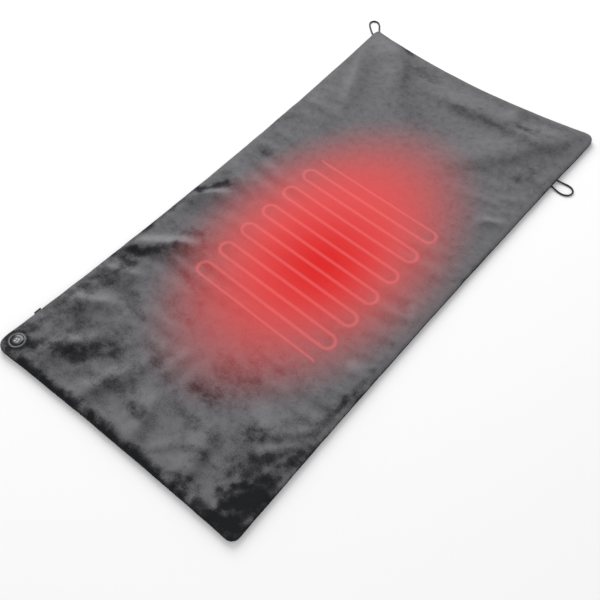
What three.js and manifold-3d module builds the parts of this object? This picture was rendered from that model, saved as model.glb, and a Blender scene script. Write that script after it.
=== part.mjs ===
// Heated plush throw: two plush covers sewn round their edge over wadding, a heating wire on a
// non-woven carrier, a push-button controller clamped through the top cover at one corner,
// a supply socket in the seam beside it and two cord loops.
//
// Millimetres. +X across the width, +Y along the length away from the controller's end, +Z up.
// The origin is the centre of the throw's box, on the surface that it lies on.
import * as THREE from "three";
import { mergeVertices } from "three/addons/utils/BufferGeometryUtils.js";
import Module from "manifold-3d";

const wasm = await Module();
wasm.setup();

// ---------------------------------------------------------------- driving dimensions
const WIDTH = 500; // overall, along X
const LENGTH = 1004; // overall, along Y
const GAP = 0.3; // between pieces that touch
const COVER = 1.8; // plush cover, pile pressed down
const WADDING = 2; // each layer of wadding
const CARRIER = 0.6; // non-woven sheet under the heating wire
const SEAM_HEIGHT = 4; // of the line where the two covers meet
const EDGE_ROLL = 7; // how far in from the edge the covers bend round it
const ALLOWANCE_IN = 2.8; // where the sewn-in seam allowance starts, from the edge
const ALLOWANCE_OUT = 7.8; // where it ends
const ALLOWANCE_THICK = 1.6;
const WADDING_INSET = 12; // the wadding stops short of the edge

// The outline is a drawn-in rectangle: each corner sits inside the overall box, is rounded,
// and each edge bows inwards between its corners.
const CORNERS = {
  near_right: { side: 1, end: -1, inX: 0, inY: 1, round: 16 },
  far_right: { side: 1, end: 1, inX: 2, inY: 0, round: 22 },
  far_left: { side: -1, end: 1, inX: 0, inY: 5, round: 12 },
  near_left: { side: -1, end: -1, inX: 9, inY: 4, round: 22 },
};
const BOWS = { right: 5, far: 20, left: 13, near: 3 };
const LEAST_ROUND = 4; // of a corner of a layer that lies well inside the edge
const SIDE_STEPS = 14;
const END_STEPS = 8;
const CORNER_STEPS = 5;

// Heater.
const HEATER_X = 27.5; // centre of the serpentine
const HEATER_Y = -42.5;
const HEATER_WIDTH = 265; // over the outside of its turns, along X
const HEATER_PITCH = 27.4; // between runs, along Y
const HEATER_RUNS = 13;
const HEATER_LEAN = 0.047; // the runs drop this much along Y for each unit along +X
const HEATER_TAIL = 12; // straight free end of the wire, in line with its crimp
const HEATER_WIRE = 2.2; // diameter over its silicone sheath
const CARRIER_MARGIN = 20;
const CARRIER_ROUND = 12;
const LEAD = 1.5; // diameter of an insulated lead
const LEAD_SPACING = 3.2;
const LEAD_BEND = 6;
const LEAD_LANE = 26; // from the controller's axis to the first lead that runs along the length
const RETURN_DROP = 43; // how far past the last run the return lead crosses the width
const CRIMP = { length: 8, diameter: 2 };
const SLEEVE = { length: 15, bore: 2.5, diameter: 3 };
const CUTOUT = { length: 12, width: 5, height: 2.6, x: 20 };

// Controller, a stack of round pieces on one vertical axis. The button's hole in the bezel
// sets it, and each size round it is a wall, a lap or a clearance.
const CAP_HOLE_R = 10.6;
const CAP_HOLE_DEEP = 1.7;
const LIP_LAP = 0.6; // of the bezel's shoulder over the cap's lip
const NECK_WALL = 1.4;
const NECK_CLEARANCE = 0.6; // between the bezel's neck and the base's wall
const BASE_WALL = 1.2;
const BASE_FLOOR = 1.6;
const BASE_TO_ALLOWANCE = 1.5; // clear distance between the base and the seam allowance
const FLANGE_LAP = 2.6; // of the bezel over the cover's hole
const FLANGE_THICK = 1.6;
const RING = { wallInside: 0.7, width: 1.6, thick: 1.1, proud: 0.2 };
const CAP_PLATE = 1.7;
const CAP_PROUD = 0.3;
const CAP_LIP = { width: 1.4, thick: 1.1 };
const WINDOW = { inner: 1.2, outer: 4.3, gapDegrees: 26, turnDegrees: 17 };
const GUIDE = { lap: 1.3, thick: 0.8 };
const LIGHT_DOT = { r: 0.7, at: 8.5, degrees: [102, 150] };
const BOARD = { clearance: 0.9, thick: 1 };
const BOSS = { r: 1.75, fromBore: 1.9, bore: 0.85, degrees: [6, 126, 246] };
const SCREW = { r: 0.7, headR: 1.4, headThick: 0.8 };
const SWITCH = { side: 6, height: 3.1, plungerR: 1.7, travel: 0.5 };
const GROMMET = { width: 8.4, height: 3.2, flange: 0.8 };

// Supply socket in the left edge and its cable to the controller.
const SOCKET_FROM_CONTROLLER = 58.5; // along +Y
const SOCKET = { width: 11, height: 5.6, deep: 15, flangeGrow: 1.6, flangeThick: 1.2 };
const SHELL = { width: 8.9, height: 3.2, wall: 0.3, deep: 7.2 };
const TONGUE = { width: 6.6, thick: 0.7, long: 5.8, block: 1.1 };
const SUPPLY_CABLE = 2.6;

// Cord loops.
const LOOP_CORD = 3.2;
const LOOP_TAIL = 5; // how far each end is sewn into the seam
const CORNER_LOOP = [
  [-243.2, 497.2, 4.2], [-246.3, 500.9, 3.9], [-249.6, 505.2, 3.1], [-253.1, 509.9, 2.2],
  [-256.6, 514.9, 1.7], [-260.2, 520.0, 1.6], [-264.3, 524.6, 1.6], [-269.3, 527.7, 1.6],
  [-275.0, 528.0, 1.6], [-279.7, 525.0, 1.6], [-281.7, 519.8, 1.6], [-280.3, 514.0, 1.6],
  [-276.7, 508.9, 1.6], [-272.1, 504.3, 1.6], [-267.2, 499.8, 1.7], [-262.6, 495.4, 2.2],
  [-258.2, 491.6, 3.1], [-254.0, 488.3, 3.9], [-250.2, 485.3, 4.2],
];
const SIDE_LOOP = [
  [241.4, 364.6, 4.2], [246.2, 365.3, 3.9], [251.4, 366.4, 3.1], [256.9, 367.6, 2.2],
  [262.5, 368.5, 1.7], [268.3, 368.7, 1.6], [274.0, 367.6, 1.6], [278.9, 364.4, 1.6],
  [281.8, 359.3, 1.6], [281.9, 353.4, 1.6], [279.2, 348.1, 1.6], [274.4, 344.7, 1.6],
  [268.8, 343.3, 1.6], [263.0, 343.4, 1.7], [257.4, 344.2, 2.2], [251.8, 345.3, 3.1],
  [246.6, 346.3, 3.9], [241.8, 346.9, 4.2],
];

// ---------------------------------------------------------------- radii worked out from them
const NECK_BORE_R = CAP_HOLE_R + LIP_LAP;
const NECK_R = NECK_BORE_R + NECK_WALL;
const BASE_BORE_R = NECK_R + NECK_CLEARANCE;
const BASE_R = BASE_BORE_R + BASE_WALL;
const FLANGE_R = NECK_R + FLANGE_LAP;
const RING_INNER_R = CAP_HOLE_R + RING.wallInside;
const RING_OUTER_R = RING_INNER_R + RING.width;
const LIP_R = NECK_BORE_R - GAP;
const GUIDE_R = WINDOW.outer + GUIDE.lap;
const BOARD_R = BASE_BORE_R - BOARD.clearance;
const BOSS_AT = NECK_BORE_R - BOSS.fromBore;
const CONTROLLER_INSET = BASE_R + ALLOWANCE_OUT + BASE_TO_ALLOWANCE; // of its axis, from each edge

// ---------------------------------------------------------------- heights worked out from them
const BACK_TOP = COVER;
const LOWER_WADDING_Z = BACK_TOP + GAP;
const CARRIER_Z = LOWER_WADDING_Z + WADDING + GAP;
const WIRE_Z = CARRIER_Z + CARRIER + GAP + SLEEVE.diameter / 2; // axis of every wire and lead
const UPPER_WADDING_Z = WIRE_Z + SLEEVE.diameter / 2 + GAP;
const TOP_UNDERSIDE = UPPER_WADDING_Z + WADDING + GAP;
const TOP_Z = TOP_UNDERSIDE + COVER;

const FLANGE_Z = TOP_Z + GAP;
const FLANGE_TOP = FLANGE_Z + FLANGE_THICK;
const SHOULDER_Z = FLANGE_TOP - CAP_HOLE_DEEP; // the cap's lip stops under this
const BASE_Z = BACK_TOP + GAP;
const FLOOR_TOP = BASE_Z + BASE_FLOOR;
const BASE_TOP = TOP_UNDERSIDE - GAP;
const BOARD_TOP = WIRE_Z - LEAD / 2 - GAP;
const BOARD_Z = BOARD_TOP - BOARD.thick;
const NECK_Z = WIRE_Z + GROMMET.height / 2 + GAP;
const BOSS_Z = BOARD_TOP + GAP;
const CAP_TOP = FLANGE_TOP + CAP_PROUD;
const CAP_UNDERSIDE = CAP_TOP - CAP_PLATE;
const LIP_TOP = SHOULDER_Z - GAP;
const LIP_Z = LIP_TOP - CAP_LIP.thick;
const BOSS_TOP = LIP_Z - SWITCH.travel - GAP;
const GUIDE_TOP = CAP_UNDERSIDE - GAP;
const GUIDE_Z = GUIDE_TOP - GUIDE.thick;
const SWITCH_Z = BOARD_TOP + GAP;
const SWITCH_TOP = SWITCH_Z + SWITCH.height;
const PLUNGER_TOP = SWITCH_TOP + SWITCH.travel + 2 * GAP;
const PLUNGER_Z = SWITCH_TOP - SWITCH.travel - GAP;

// ---------------------------------------------------------------- materials
const paint = (color, roughness, metalness = 0) =>
  new THREE.MeshStandardMaterial({ color, roughness, metalness });

const throwGroup = new THREE.Group();
function piece(name, geometry, material) {
  const mesh = new THREE.Mesh(geometry, material);
  mesh.name = name;
  throwGroup.add(mesh);
  return mesh;
}

// ---------------------------------------------------------------- solids
// A closed geometry as a solid for cutting and joining, and back again.
function toSolid(geometry) {
  const bare = new THREE.BufferGeometry();
  bare.setAttribute("position", geometry.getAttribute("position"));
  if (geometry.index) bare.setIndex(geometry.index);
  const merged = mergeVertices(bare, 1e-4);
  return new wasm.Manifold(
    new wasm.Mesh({
      numProp: 3,
      vertProperties: merged.attributes.position.array,
      triVerts: new Uint32Array(merged.index.array),
    }),
  );
}

function fromSolid(solid) {
  const mesh = solid.getMesh();
  const geometry = new THREE.BufferGeometry();
  geometry.setAttribute("position", new THREE.BufferAttribute(mesh.vertProperties, 3));
  geometry.setIndex(new THREE.BufferAttribute(mesh.triVerts, 1));
  return geometry;
}

const cut = (geometry, tools) =>
  fromSolid(tools.reduce((solid, tool) => solid.subtract(toSolid(tool)), toSolid(geometry)));
const join = (geometry, others) =>
  fromSolid(others.reduce((solid, other) => solid.add(toSolid(other)), toSolid(geometry)));

const box = (x0, x1, y0, y1, z0, z1) =>
  new THREE.BoxGeometry(x1 - x0, y1 - y0, z1 - z0).translate(
    (x0 + x1) / 2,
    (y0 + y1) / 2,
    (z0 + z1) / 2,
  );

// A block centred on (x, y) that stands on z.
const block = (x, y, z, sizeX, sizeY, sizeZ) =>
  box(x - sizeX / 2, x + sizeX / 2, y - sizeY / 2, y + sizeY / 2, z, z + sizeZ);

const rod = (x, y, z0, z1, radius, sides) =>
  new THREE.CylinderGeometry(radius, radius, z1 - z0, sides)
    .rotateX(Math.PI / 2)
    .translate(x, y, (z0 + z1) / 2);

// A turned piece on the vertical axis through (x, y). Its profile is (radius, z) pairs.
function turned(profile, x, y, sides) {
  const points = profile.map(([r, z]) => new THREE.Vector2(r, z));
  return new THREE.LatheGeometry(points, sides).rotateX(Math.PI / 2).translate(x, y, 0);
}

const ringProfile = (inner, outer, z0, z1) => [
  [inner, z0],
  [outer, z0],
  [outer, z1],
  [inner, z1],
  [inner, z0],
];

// ---------------------------------------------------------------- outline of the throw
const cornerPoint = ({ side, end, inX, inY }, distance) =>
  new THREE.Vector2(side * (WIDTH / 2 - inX - distance), end * (LENGTH / 2 - inY - distance));

function crossing(a, b, c, d) {
  const ab = b.clone().sub(a);
  const cd = d.clone().sub(c);
  return a.clone().addScaledVector(ab, c.clone().sub(a).cross(cd) / ab.cross(cd));
}

// The bowed edges and rounded corners at a distance in from the edge, anticlockwise, as
// quadratic curves. Every distance gives the same number of points.
function bowedLoop(distance) {
  const order = ["near_right", "far_right", "far_left", "near_left"].map((name) => CORNERS[name]);
  const bows = [BOWS.right, BOWS.far, BOWS.left, BOWS.near];
  const roundOf = (corner) => Math.max(corner.round - distance, LEAST_ROUND);
  const edges = order.map((corner, i) => {
    const next = order[(i + 1) % order.length];
    const from = cornerPoint(corner, distance);
    const to = cornerPoint(next, distance);
    const along = to.clone().sub(from).normalize();
    const inward = new THREE.Vector2(-along.y, along.x);
    const start = from.clone().addScaledVector(along, roundOf(corner));
    const stop = to.clone().addScaledVector(along, -roundOf(next));
    const middle = start.clone().lerp(stop, 0.5).addScaledVector(inward, 2 * bows[i]);
    return { start, middle, stop };
  });
  return edges.flatMap((edge, i) => {
    const next = edges[(i + 1) % edges.length];
    const tip = crossing(edge.middle, edge.stop, next.middle, next.start);
    const bowed = new THREE.QuadraticBezierCurve(edge.start, edge.middle, edge.stop);
    const corner = new THREE.QuadraticBezierCurve(edge.stop, tip, next.start);
    return [
      ...bowed.getPoints(i % 2 ? END_STEPS : SIDE_STEPS).slice(0, -1),
      ...corner.getPoints(CORNER_STEPS).slice(0, -1),
    ];
  });
}

// The overall sizes hold exactly, and the box is centred on the origin.
const BARE_BOX = new THREE.Box2().setFromPoints(bowedLoop(0));
const BARE_CENTRE = BARE_BOX.getCenter(new THREE.Vector2());
const BARE_SIZE = BARE_BOX.getSize(new THREE.Vector2());
const TO_SIZE = new THREE.Vector2(WIDTH / BARE_SIZE.x, LENGTH / BARE_SIZE.y);
const inset = (distance) => bowedLoop(distance).map((p) => p.sub(BARE_CENTRE).multiply(TO_SIZE));
const OUTLINE = inset(0);

// The X of the left edge at a given Y.
function leftEdgeAt(y) {
  const onLeft = OUTLINE.map((p, i) => [p, OUTLINE[(i + 1) % OUTLINE.length]]).find(
    ([p, q]) => p.x < 0 && q.x < 0 && p.y >= y && q.y <= y,
  );
  const [p, q] = onLeft;
  return p.x + ((q.x - p.x) * (y - p.y)) / (q.y - p.y);
}

// A sheet from a section that runs from a flat top at its first [inset, z], round the edge,
// to a flat underside at its last.
function sheetSolid(section) {
  const rings = section.map(([distance, z]) => inset(distance).map((p) => [p.x, p.y, z]));
  const count = OUTLINE.length;
  const index = [];
  for (let k = 0; k + 1 < rings.length; k++) {
    for (let i = 0; i < count; i++) {
      const j = (i + 1) % count;
      index.push(k * count + i, (k + 1) * count + i, (k + 1) * count + j);
      index.push(k * count + i, (k + 1) * count + j, k * count + j);
    }
  }
  const last = (rings.length - 1) * count;
  const flat = (ring) => THREE.ShapeUtils.triangulateShape(ring, []);
  flat(inset(section[0][0])).forEach(([a, b, c]) => index.push(a, b, c));
  flat(inset(section[section.length - 1][0])).forEach(([a, b, c]) =>
    index.push(last + c, last + b, last + a),
  );
  const geometry = new THREE.BufferGeometry();
  geometry.setAttribute("position", new THREE.Float32BufferAttribute(rings.flat(2), 3));
  geometry.setIndex(index);
  return geometry;
}

// A quarter ellipse of [inset, z] from a flat face (inset rollIn) out to the seam (inset edgeIn).
const ROLL_STEPS = 3;
const roll = (edgeIn, rollIn, seamZ, flatZ) =>
  Array.from({ length: ROLL_STEPS + 1 }, (_, k) => {
    const angle = (k / ROLL_STEPS) * (Math.PI / 2);
    return [
      edgeIn + (rollIn - edgeIn) * (1 - Math.sin(angle)),
      seamZ + (flatZ - seamZ) * Math.cos(angle),
    ];
  });

// ---------------------------------------------------------------- wires
// A path whose stations are its own points, so a straight run is one step and a bend is several.
class StationPath extends THREE.Curve {
  constructor(points) {
    super();
    this.points = points;
    this.last = points.length - 1;
  }
  getPoint(t, target = new THREE.Vector3()) {
    const i = Math.min(Math.floor(t * this.last), this.last - 1);
    return target.lerpVectors(this.points[i], this.points[i + 1], t * this.last - i);
  }
  getPointAt(u, target) {
    return this.getPoint(u, target);
  }
  getTangentAt(u, target = new THREE.Vector3()) {
    const i = Math.round(u * this.last);
    const here = this.points[i];
    const before = this.points[Math.max(i - 1, 0)];
    const after = this.points[Math.min(i + 1, this.last)];
    const arriving = here.clone().sub(before).normalize();
    const leaving = after.clone().sub(here).normalize();
    return target.copy(arriving).add(leaving).normalize();
  }
}

function tube(points, diameter, sides) {
  const section = new THREE.Shape();
  section.absarc(0, 0, diameter / 2, 0, 2 * Math.PI);
  return new THREE.ExtrudeGeometry(section, {
    steps: points.length - 1,
    curveSegments: sides / 2,
    extrudePath: new StationPath(points),
  });
}

// Points of an arc about (cx, cy) at the wires' height.
const arc = (cx, cy, radius, from, to, steps) =>
  Array.from({ length: steps + 1 }, (_, k) => {
    const angle = from + ((to - from) * k) / steps;
    return new THREE.Vector3(cx + radius * Math.cos(angle), cy + radius * Math.sin(angle), WIRE_Z);
  });

// A route through [x, y] corners at the wires' height, with each corner rounded.
const BEND_STEPS = 4;
function routed(corners, radius) {
  const at = corners.map(([x, y]) => new THREE.Vector3(x, y, WIRE_Z));
  const points = [at[0]];
  for (let i = 1; i + 1 < at.length; i++) {
    const back = at[i - 1].clone().sub(at[i]).normalize();
    const on = at[i + 1].clone().sub(at[i]).normalize();
    const start = at[i].clone().addScaledVector(back, radius);
    const stop = at[i].clone().addScaledVector(on, radius);
    points.push(...new THREE.QuadraticBezierCurve3(start, at[i], stop).getPoints(BEND_STEPS));
  }
  return [...points, at[at.length - 1]];
}

const WIRE_SIDES = 6;
const TURN_STEPS = 6;

// ---------------------------------------------------------------- where the electrics are
const CONTROLLER_X = -(WIDTH / 2 - CORNERS.near_left.inX) + CONTROLLER_INSET;
const CONTROLLER_Y = -(LENGTH / 2 - CORNERS.near_left.inY) + CONTROLLER_INSET;
const SOCKET_Y = CONTROLLER_Y + SOCKET_FROM_CONTROLLER;
const SOCKET_FACE = leftEdgeAt(SOCKET_Y) - GAP; // the flange sits just outside the fabric
const SOCKET_BACK = SOCKET_FACE + SOCKET.deep;
const RUN_HALF = HEATER_WIDTH / 2 - HEATER_PITCH / 2;
const FIRST_RUN_Y = HEATER_Y + ((HEATER_RUNS - 1) * HEATER_PITCH) / 2;
const LAST_RUN_Y = HEATER_Y - ((HEATER_RUNS - 1) * HEATER_PITCH) / 2;
const WIRE_START_X = HEATER_X - HEATER_WIDTH / 2; // free end of the first run
const WIRE_END_X = HEATER_X + HEATER_WIDTH / 2; // free end of the last run
const FEED_Y = FIRST_RUN_Y + (HEATER_LEAN * HEATER_WIDTH) / 2; // of the crimps on the two free ends
const RETURN_JOINT_Y = LAST_RUN_Y - (HEATER_LEAN * HEATER_WIDTH) / 2;

const onAxis = (radius, degrees) => {
  const angle = (degrees * Math.PI) / 180;
  return [CONTROLLER_X + radius * Math.cos(angle), CONTROLLER_Y + radius * Math.sin(angle)];
};
const turnedHere = (profile, sides) => turned(profile, CONTROLLER_X, CONTROLLER_Y, sides);
const DISC_SIDES = 36;

// The room that the controller, the socket and the sewn-in cord ends need in the soft layers.
const controllerRoom = (radius) =>
  rod(CONTROLLER_X, CONTROLLER_Y, -1, TOP_Z + 1, radius, DISC_SIDES);
const socketRoom = () =>
  box(
    SOCKET_FACE - 2,
    SOCKET_BACK + GAP,
    SOCKET_Y - SOCKET.width / 2 - GAP,
    SOCKET_Y + SOCKET.width / 2 + GAP,
    WIRE_Z - SOCKET.height / 2 - GAP,
    WIRE_Z + SOCKET.height / 2 + GAP,
  );

const route = (list) => list.map((p) => new THREE.Vector3(...p));

// A straight hole for one sewn-in end of a cord: along its first stretch, a little wider and
// longer than the cord.
function cordRoom(points) {
  const [inner, next] = points;
  const out = next.clone().sub(inner).normalize();
  const start = inner.clone().addScaledVector(out, -GAP);
  const stop = inner.clone().addScaledVector(out, 2 * LOOP_TAIL);
  return tube([start, stop], LOOP_CORD + 2 * GAP, 12);
}
const cordRooms = () =>
  [CORNER_LOOP, SIDE_LOOP].flatMap((list) => [
    cordRoom(route(list)),
    cordRoom(route(list).reverse()),
  ]);

// ---------------------------------------------------------------- covers, wadding and seam
const plush = (color) => paint(color, 0.95);

function topCover() {
  const seam = SEAM_HEIGHT + GAP / 2;
  const outside = roll(0, EDGE_ROLL, seam, TOP_Z);
  const inside = roll(COVER, EDGE_ROLL + 1, seam, TOP_UNDERSIDE).reverse();
  const rooms = [controllerRoom(NECK_R + GAP), socketRoom(), ...cordRooms()];
  return cut(sheetSolid([...outside, ...inside]), rooms);
}

function backCover() {
  const seam = SEAM_HEIGHT - GAP / 2;
  const inside = roll(COVER, EDGE_ROLL + 1, seam, BACK_TOP);
  const outside = roll(0, EDGE_ROLL, seam, 0).reverse();
  return cut(sheetSolid([...inside, ...outside]), [socketRoom(), ...cordRooms()]);
}

// The turned-in edges of both covers, stitched through: one band round the inside of the seam.
function seamAllowance() {
  const z0 = SEAM_HEIGHT - ALLOWANCE_THICK / 2;
  const z1 = SEAM_HEIGHT + ALLOWANCE_THICK / 2;
  const band = sheetSolid([[ALLOWANCE_IN, z1], [ALLOWANCE_IN, z0]]);
  const middle = sheetSolid([[ALLOWANCE_OUT, z1 + 1], [ALLOWANCE_OUT, z0 - 1]]);
  return cut(band, [middle, socketRoom(), ...cordRooms()]);
}

function wadding(z) {
  const sheet = sheetSolid([[WADDING_INSET, z + WADDING], [WADDING_INSET, z]]);
  const beyondController = box(-WIDTH, CONTROLLER_X, -LENGTH, CONTROLLER_Y, -1, TOP_Z + 1);
  return cut(sheet, [controllerRoom(BASE_R + 2 * GAP), beyondController, socketRoom()]);
}

piece("top_cover", topCover(), plush(0x6f6f72));
piece("back_cover", backCover(), plush(0x5c5c60));
piece("seam_allowance", seamAllowance(), plush(0x4c4c50));
piece("upper_wadding", wadding(UPPER_WADDING_Z), plush(0xe6e4df));
piece("lower_wadding", wadding(LOWER_WADDING_Z), plush(0xe6e4df));

// ---------------------------------------------------------------- heater
function heaterCarrier() {
  const halfX = HEATER_WIDTH / 2 + CARRIER_MARGIN;
  const halfY = ((HEATER_RUNS - 1) * HEATER_PITCH) / 2 + CARRIER_MARGIN;
  const sheet = new THREE.Shape();
  const corners = [[1, -1], [1, 1], [-1, 1], [-1, -1]];
  corners.forEach(([sx, sy], i) =>
    sheet.absarc(
      sx * (halfX - CARRIER_ROUND),
      sy * (halfY - CARRIER_ROUND),
      CARRIER_ROUND,
      ((i - 1) * Math.PI) / 2,
      (i * Math.PI) / 2,
    ),
  );
  sheet.closePath();
  return new THREE.ExtrudeGeometry(sheet, { depth: CARRIER, bevelEnabled: false, curveSegments: 2 })
    .translate(HEATER_X, HEATER_Y, CARRIER_Z);
}

function heatingWire() {
  const points = [];
  for (let run = 0; run + 1 < HEATER_RUNS; run++) {
    const side = run % 2 ? -1 : 1;
    const turnY = FIRST_RUN_Y - (run + 0.5) * HEATER_PITCH;
    const from = Math.PI / 2;
    points.push(
      ...arc(
        HEATER_X + side * RUN_HALF,
        turnY,
        HEATER_PITCH / 2,
        from,
        from - side * Math.PI,
        TURN_STEPS,
      ),
    );
  }
  points.forEach((p) => (p.y -= HEATER_LEAN * (p.x - HEATER_X)));
  const tail = (x, y) => new THREE.Vector3(x, y, WIRE_Z);
  const feedTail = [tail(WIRE_START_X, FEED_Y), tail(WIRE_START_X + HEATER_TAIL, FEED_Y)];
  const returnTail = [
    tail(WIRE_END_X - HEATER_TAIL, RETURN_JOINT_Y),
    tail(WIRE_END_X, RETURN_JOINT_Y),
  ];
  return tube([...feedTail, ...points, ...returnTail], HEATER_WIRE, WIRE_SIDES);
}

// A crimp and its shrink sleeve on a joint that runs from x, in the direction side, at y.
const crimpEnd = (x, side) => x + side * (CRIMP.length + 2 * GAP);
function crimpJoint(name, x, side, y) {
  const start = x + side * GAP;
  const middle = start + (side * CRIMP.length) / 2;
  const barrel = new THREE.CylinderGeometry(CRIMP.diameter / 2, CRIMP.diameter / 2, CRIMP.length, 10);
  const profile = ringProfile(
    SLEEVE.bore / 2, SLEEVE.diameter / 2, -SLEEVE.length / 2, SLEEVE.length / 2,
  );
  const points = profile.map(([r, along]) => new THREE.Vector2(r, along));
  const sleeve = new THREE.LatheGeometry(points, 12);
  piece(
    name + "_crimp",
    barrel.rotateZ(Math.PI / 2).translate(middle, y, WIRE_Z),
    paint(0xc8a05a, 0.35, 1),
  );
  piece(
    name + "_shrink_sleeve",
    sleeve.rotateZ(Math.PI / 2).translate(middle, y, WIRE_Z),
    paint(0x17181a, 0.5),
  );
}

piece("heater_carrier", heaterCarrier(), paint(0xf2f0ea, 0.95));
piece("heating_wire", heatingWire(), paint(0xb04a3c, 0.5));
crimpJoint("feed", WIRE_START_X, -1, FEED_Y);
crimpJoint("return", WIRE_END_X, 1, RETURN_JOINT_Y);

// The two leads leave the controller side by side towards +X and turn along the length.
const LEAD_START_X = CONTROLLER_X + BASE_BORE_R - 2 * GAP;
const FEED_LANE = CONTROLLER_X + LEAD_LANE;
const RETURN_LANE = FEED_LANE + LEAD_SPACING;
const RETURN_Y = LAST_RUN_Y - RETURN_DROP;
const RETURN_SIDE_X = WIRE_END_X + CARRIER_MARGIN + LEAD_BEND;
const CUTOUT_X0 = CUTOUT.x - CUTOUT.length / 2;
const CUTOUT_X1 = CUTOUT.x + CUTOUT.length / 2;
const leadTube = (corners) => tube(routed(corners, LEAD_BEND), LEAD, WIRE_SIDES);

piece(
  "feed_lead",
  leadTube([
    [LEAD_START_X, CONTROLLER_Y + LEAD_SPACING / 2],
    [FEED_LANE, CONTROLLER_Y + LEAD_SPACING / 2],
    [FEED_LANE, FEED_Y],
    [crimpEnd(WIRE_START_X, -1), FEED_Y],
  ]),
  paint(0xb3272a, 0.45),
);
piece(
  "cutout_lead",
  leadTube([
    [crimpEnd(WIRE_END_X, 1), RETURN_JOINT_Y],
    [RETURN_SIDE_X, RETURN_JOINT_Y],
    [RETURN_SIDE_X, RETURN_Y],
    [CUTOUT_X1 + GAP, RETURN_Y],
  ]),
  paint(0x202124, 0.45),
);
piece(
  "return_lead",
  leadTube([
    [CUTOUT_X0 - GAP, RETURN_Y],
    [RETURN_LANE, RETURN_Y],
    [RETURN_LANE, CONTROLLER_Y - LEAD_SPACING / 2],
    [LEAD_START_X, CONTROLLER_Y - LEAD_SPACING / 2],
  ]),
  paint(0x202124, 0.45),
);
piece(
  "thermal_cutout",
  block(CUTOUT.x, RETURN_Y, WIRE_Z - CUTOUT.height / 2, CUTOUT.length, CUTOUT.width, CUTOUT.height),
  paint(0xb9bcc0, 0.35, 1),
);

// ---------------------------------------------------------------- controller
const blackPlastic = () => paint(0x121315, 0.35);
const screwPlaces = BOSS.degrees.map((degrees) => onAxis(BOSS_AT, degrees));
const wallMiddle = BASE_R - BASE_WALL / 2;

// A grommet is a block through the base's wall, wider than the wall on both sides, with a hole
// for each lead. It faces +X, or +Y when turned. Its room in the wall is the same block, grown.
function grommetBlock(grow) {
  const deep = BASE_WALL / 2 + GROMMET.flange + grow;
  const half = GROMMET.width / 2 + grow;
  const high = GROMMET.height / 2 + grow;
  return box(-deep, deep, -half, half, WIRE_Z - high, WIRE_Z + high).translate(wallMiddle, 0, 0);
}
function placed(geometry, turnedToY) {
  if (turnedToY) geometry.rotateZ(Math.PI / 2);
  return geometry.translate(CONTROLLER_X, CONTROLLER_Y, 0);
}
function grommet(holes, turnedToY) {
  const bores = holes.map(([y, diameter]) =>
    new THREE.CylinderGeometry(diameter / 2 + GAP / 2, diameter / 2 + GAP / 2, 4 * BASE_WALL, 12)
      .rotateZ(Math.PI / 2)
      .translate(wallMiddle, y, WIRE_Z),
  );
  return placed(cut(grommetBlock(0), bores), turnedToY);
}

function controllerBase() {
  const cup = turnedHere(
    [
      [0, BASE_Z],
      [BASE_R - 0.6, BASE_Z],
      [BASE_R, BASE_Z + 0.6],
      [BASE_R, BASE_TOP],
      [BASE_BORE_R, BASE_TOP],
      [BASE_BORE_R, FLOOR_TOP],
      [0, FLOOR_TOP],
    ],
    DISC_SIDES,
  );
  const posts = screwPlaces.map(([x, y]) =>
    rod(x, y, FLOOR_TOP - 0.5, BOARD_Z - GAP, BOSS.r, 14));
  const holes = screwPlaces.flatMap(([x, y]) => [
    rod(x, y, BASE_Z - 1, BOARD_Z, SCREW.r + GAP / 2, 12),
    rod(x, y, BASE_Z - 1, BASE_Z + SCREW.headThick + GAP / 2, SCREW.headR + GAP, 14),
  ]);
  const exits = [placed(grommetBlock(GAP), false), placed(grommetBlock(GAP), true)];
  return cut(join(cup, posts), [...holes, ...exits]);
}

function controllerBezel() {
  const grooveZ = FLANGE_TOP - RING.thick + RING.proud - GAP;
  const body = turnedHere(
    [
      [NECK_BORE_R, NECK_Z],
      [NECK_R, NECK_Z],
      [NECK_R, FLANGE_Z],
      [FLANGE_R - 0.4, FLANGE_Z],
      [FLANGE_R, FLANGE_Z + 0.5],
      [FLANGE_R - 0.5, FLANGE_TOP - 0.3],
      [FLANGE_R - 1.3, FLANGE_TOP],
      [RING_OUTER_R + GAP, FLANGE_TOP],
      [RING_OUTER_R + GAP, grooveZ],
      [RING_INNER_R - GAP, grooveZ],
      [RING_INNER_R - GAP, FLANGE_TOP],
      [CAP_HOLE_R, FLANGE_TOP],
      [CAP_HOLE_R, SHOULDER_Z],
      [NECK_BORE_R, SHOULDER_Z],
      [NECK_BORE_R, NECK_Z],
    ],
    DISC_SIDES,
  );
  // A boss for each screw stands inside the neck and clamps the board to the base.
  const bosses = screwPlaces.map(([x, y]) => rod(x, y, BOSS_Z, BOSS_TOP, BOSS.r, 14));
  const ribs = BOSS.degrees.map((degrees) => {
    const reach = (NECK_BORE_R + NECK_R) / 2 - BOSS_AT;
    return new THREE.BoxGeometry(reach, BOSS.r, BOSS_TOP - NECK_Z)
      .translate(BOSS_AT + reach / 2, 0, (BOSS_TOP + NECK_Z) / 2)
      .rotateZ((degrees * Math.PI) / 180)
      .translate(CONTROLLER_X, CONTROLLER_Y, 0);
  });
  const holes = screwPlaces.map(([x, y]) => rod(x, y, BOSS_Z - 1, BOSS_TOP - 0.6, BOSS.bore, 12));
  return cut(join(body, [...bosses, ...ribs]), holes);
}

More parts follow.
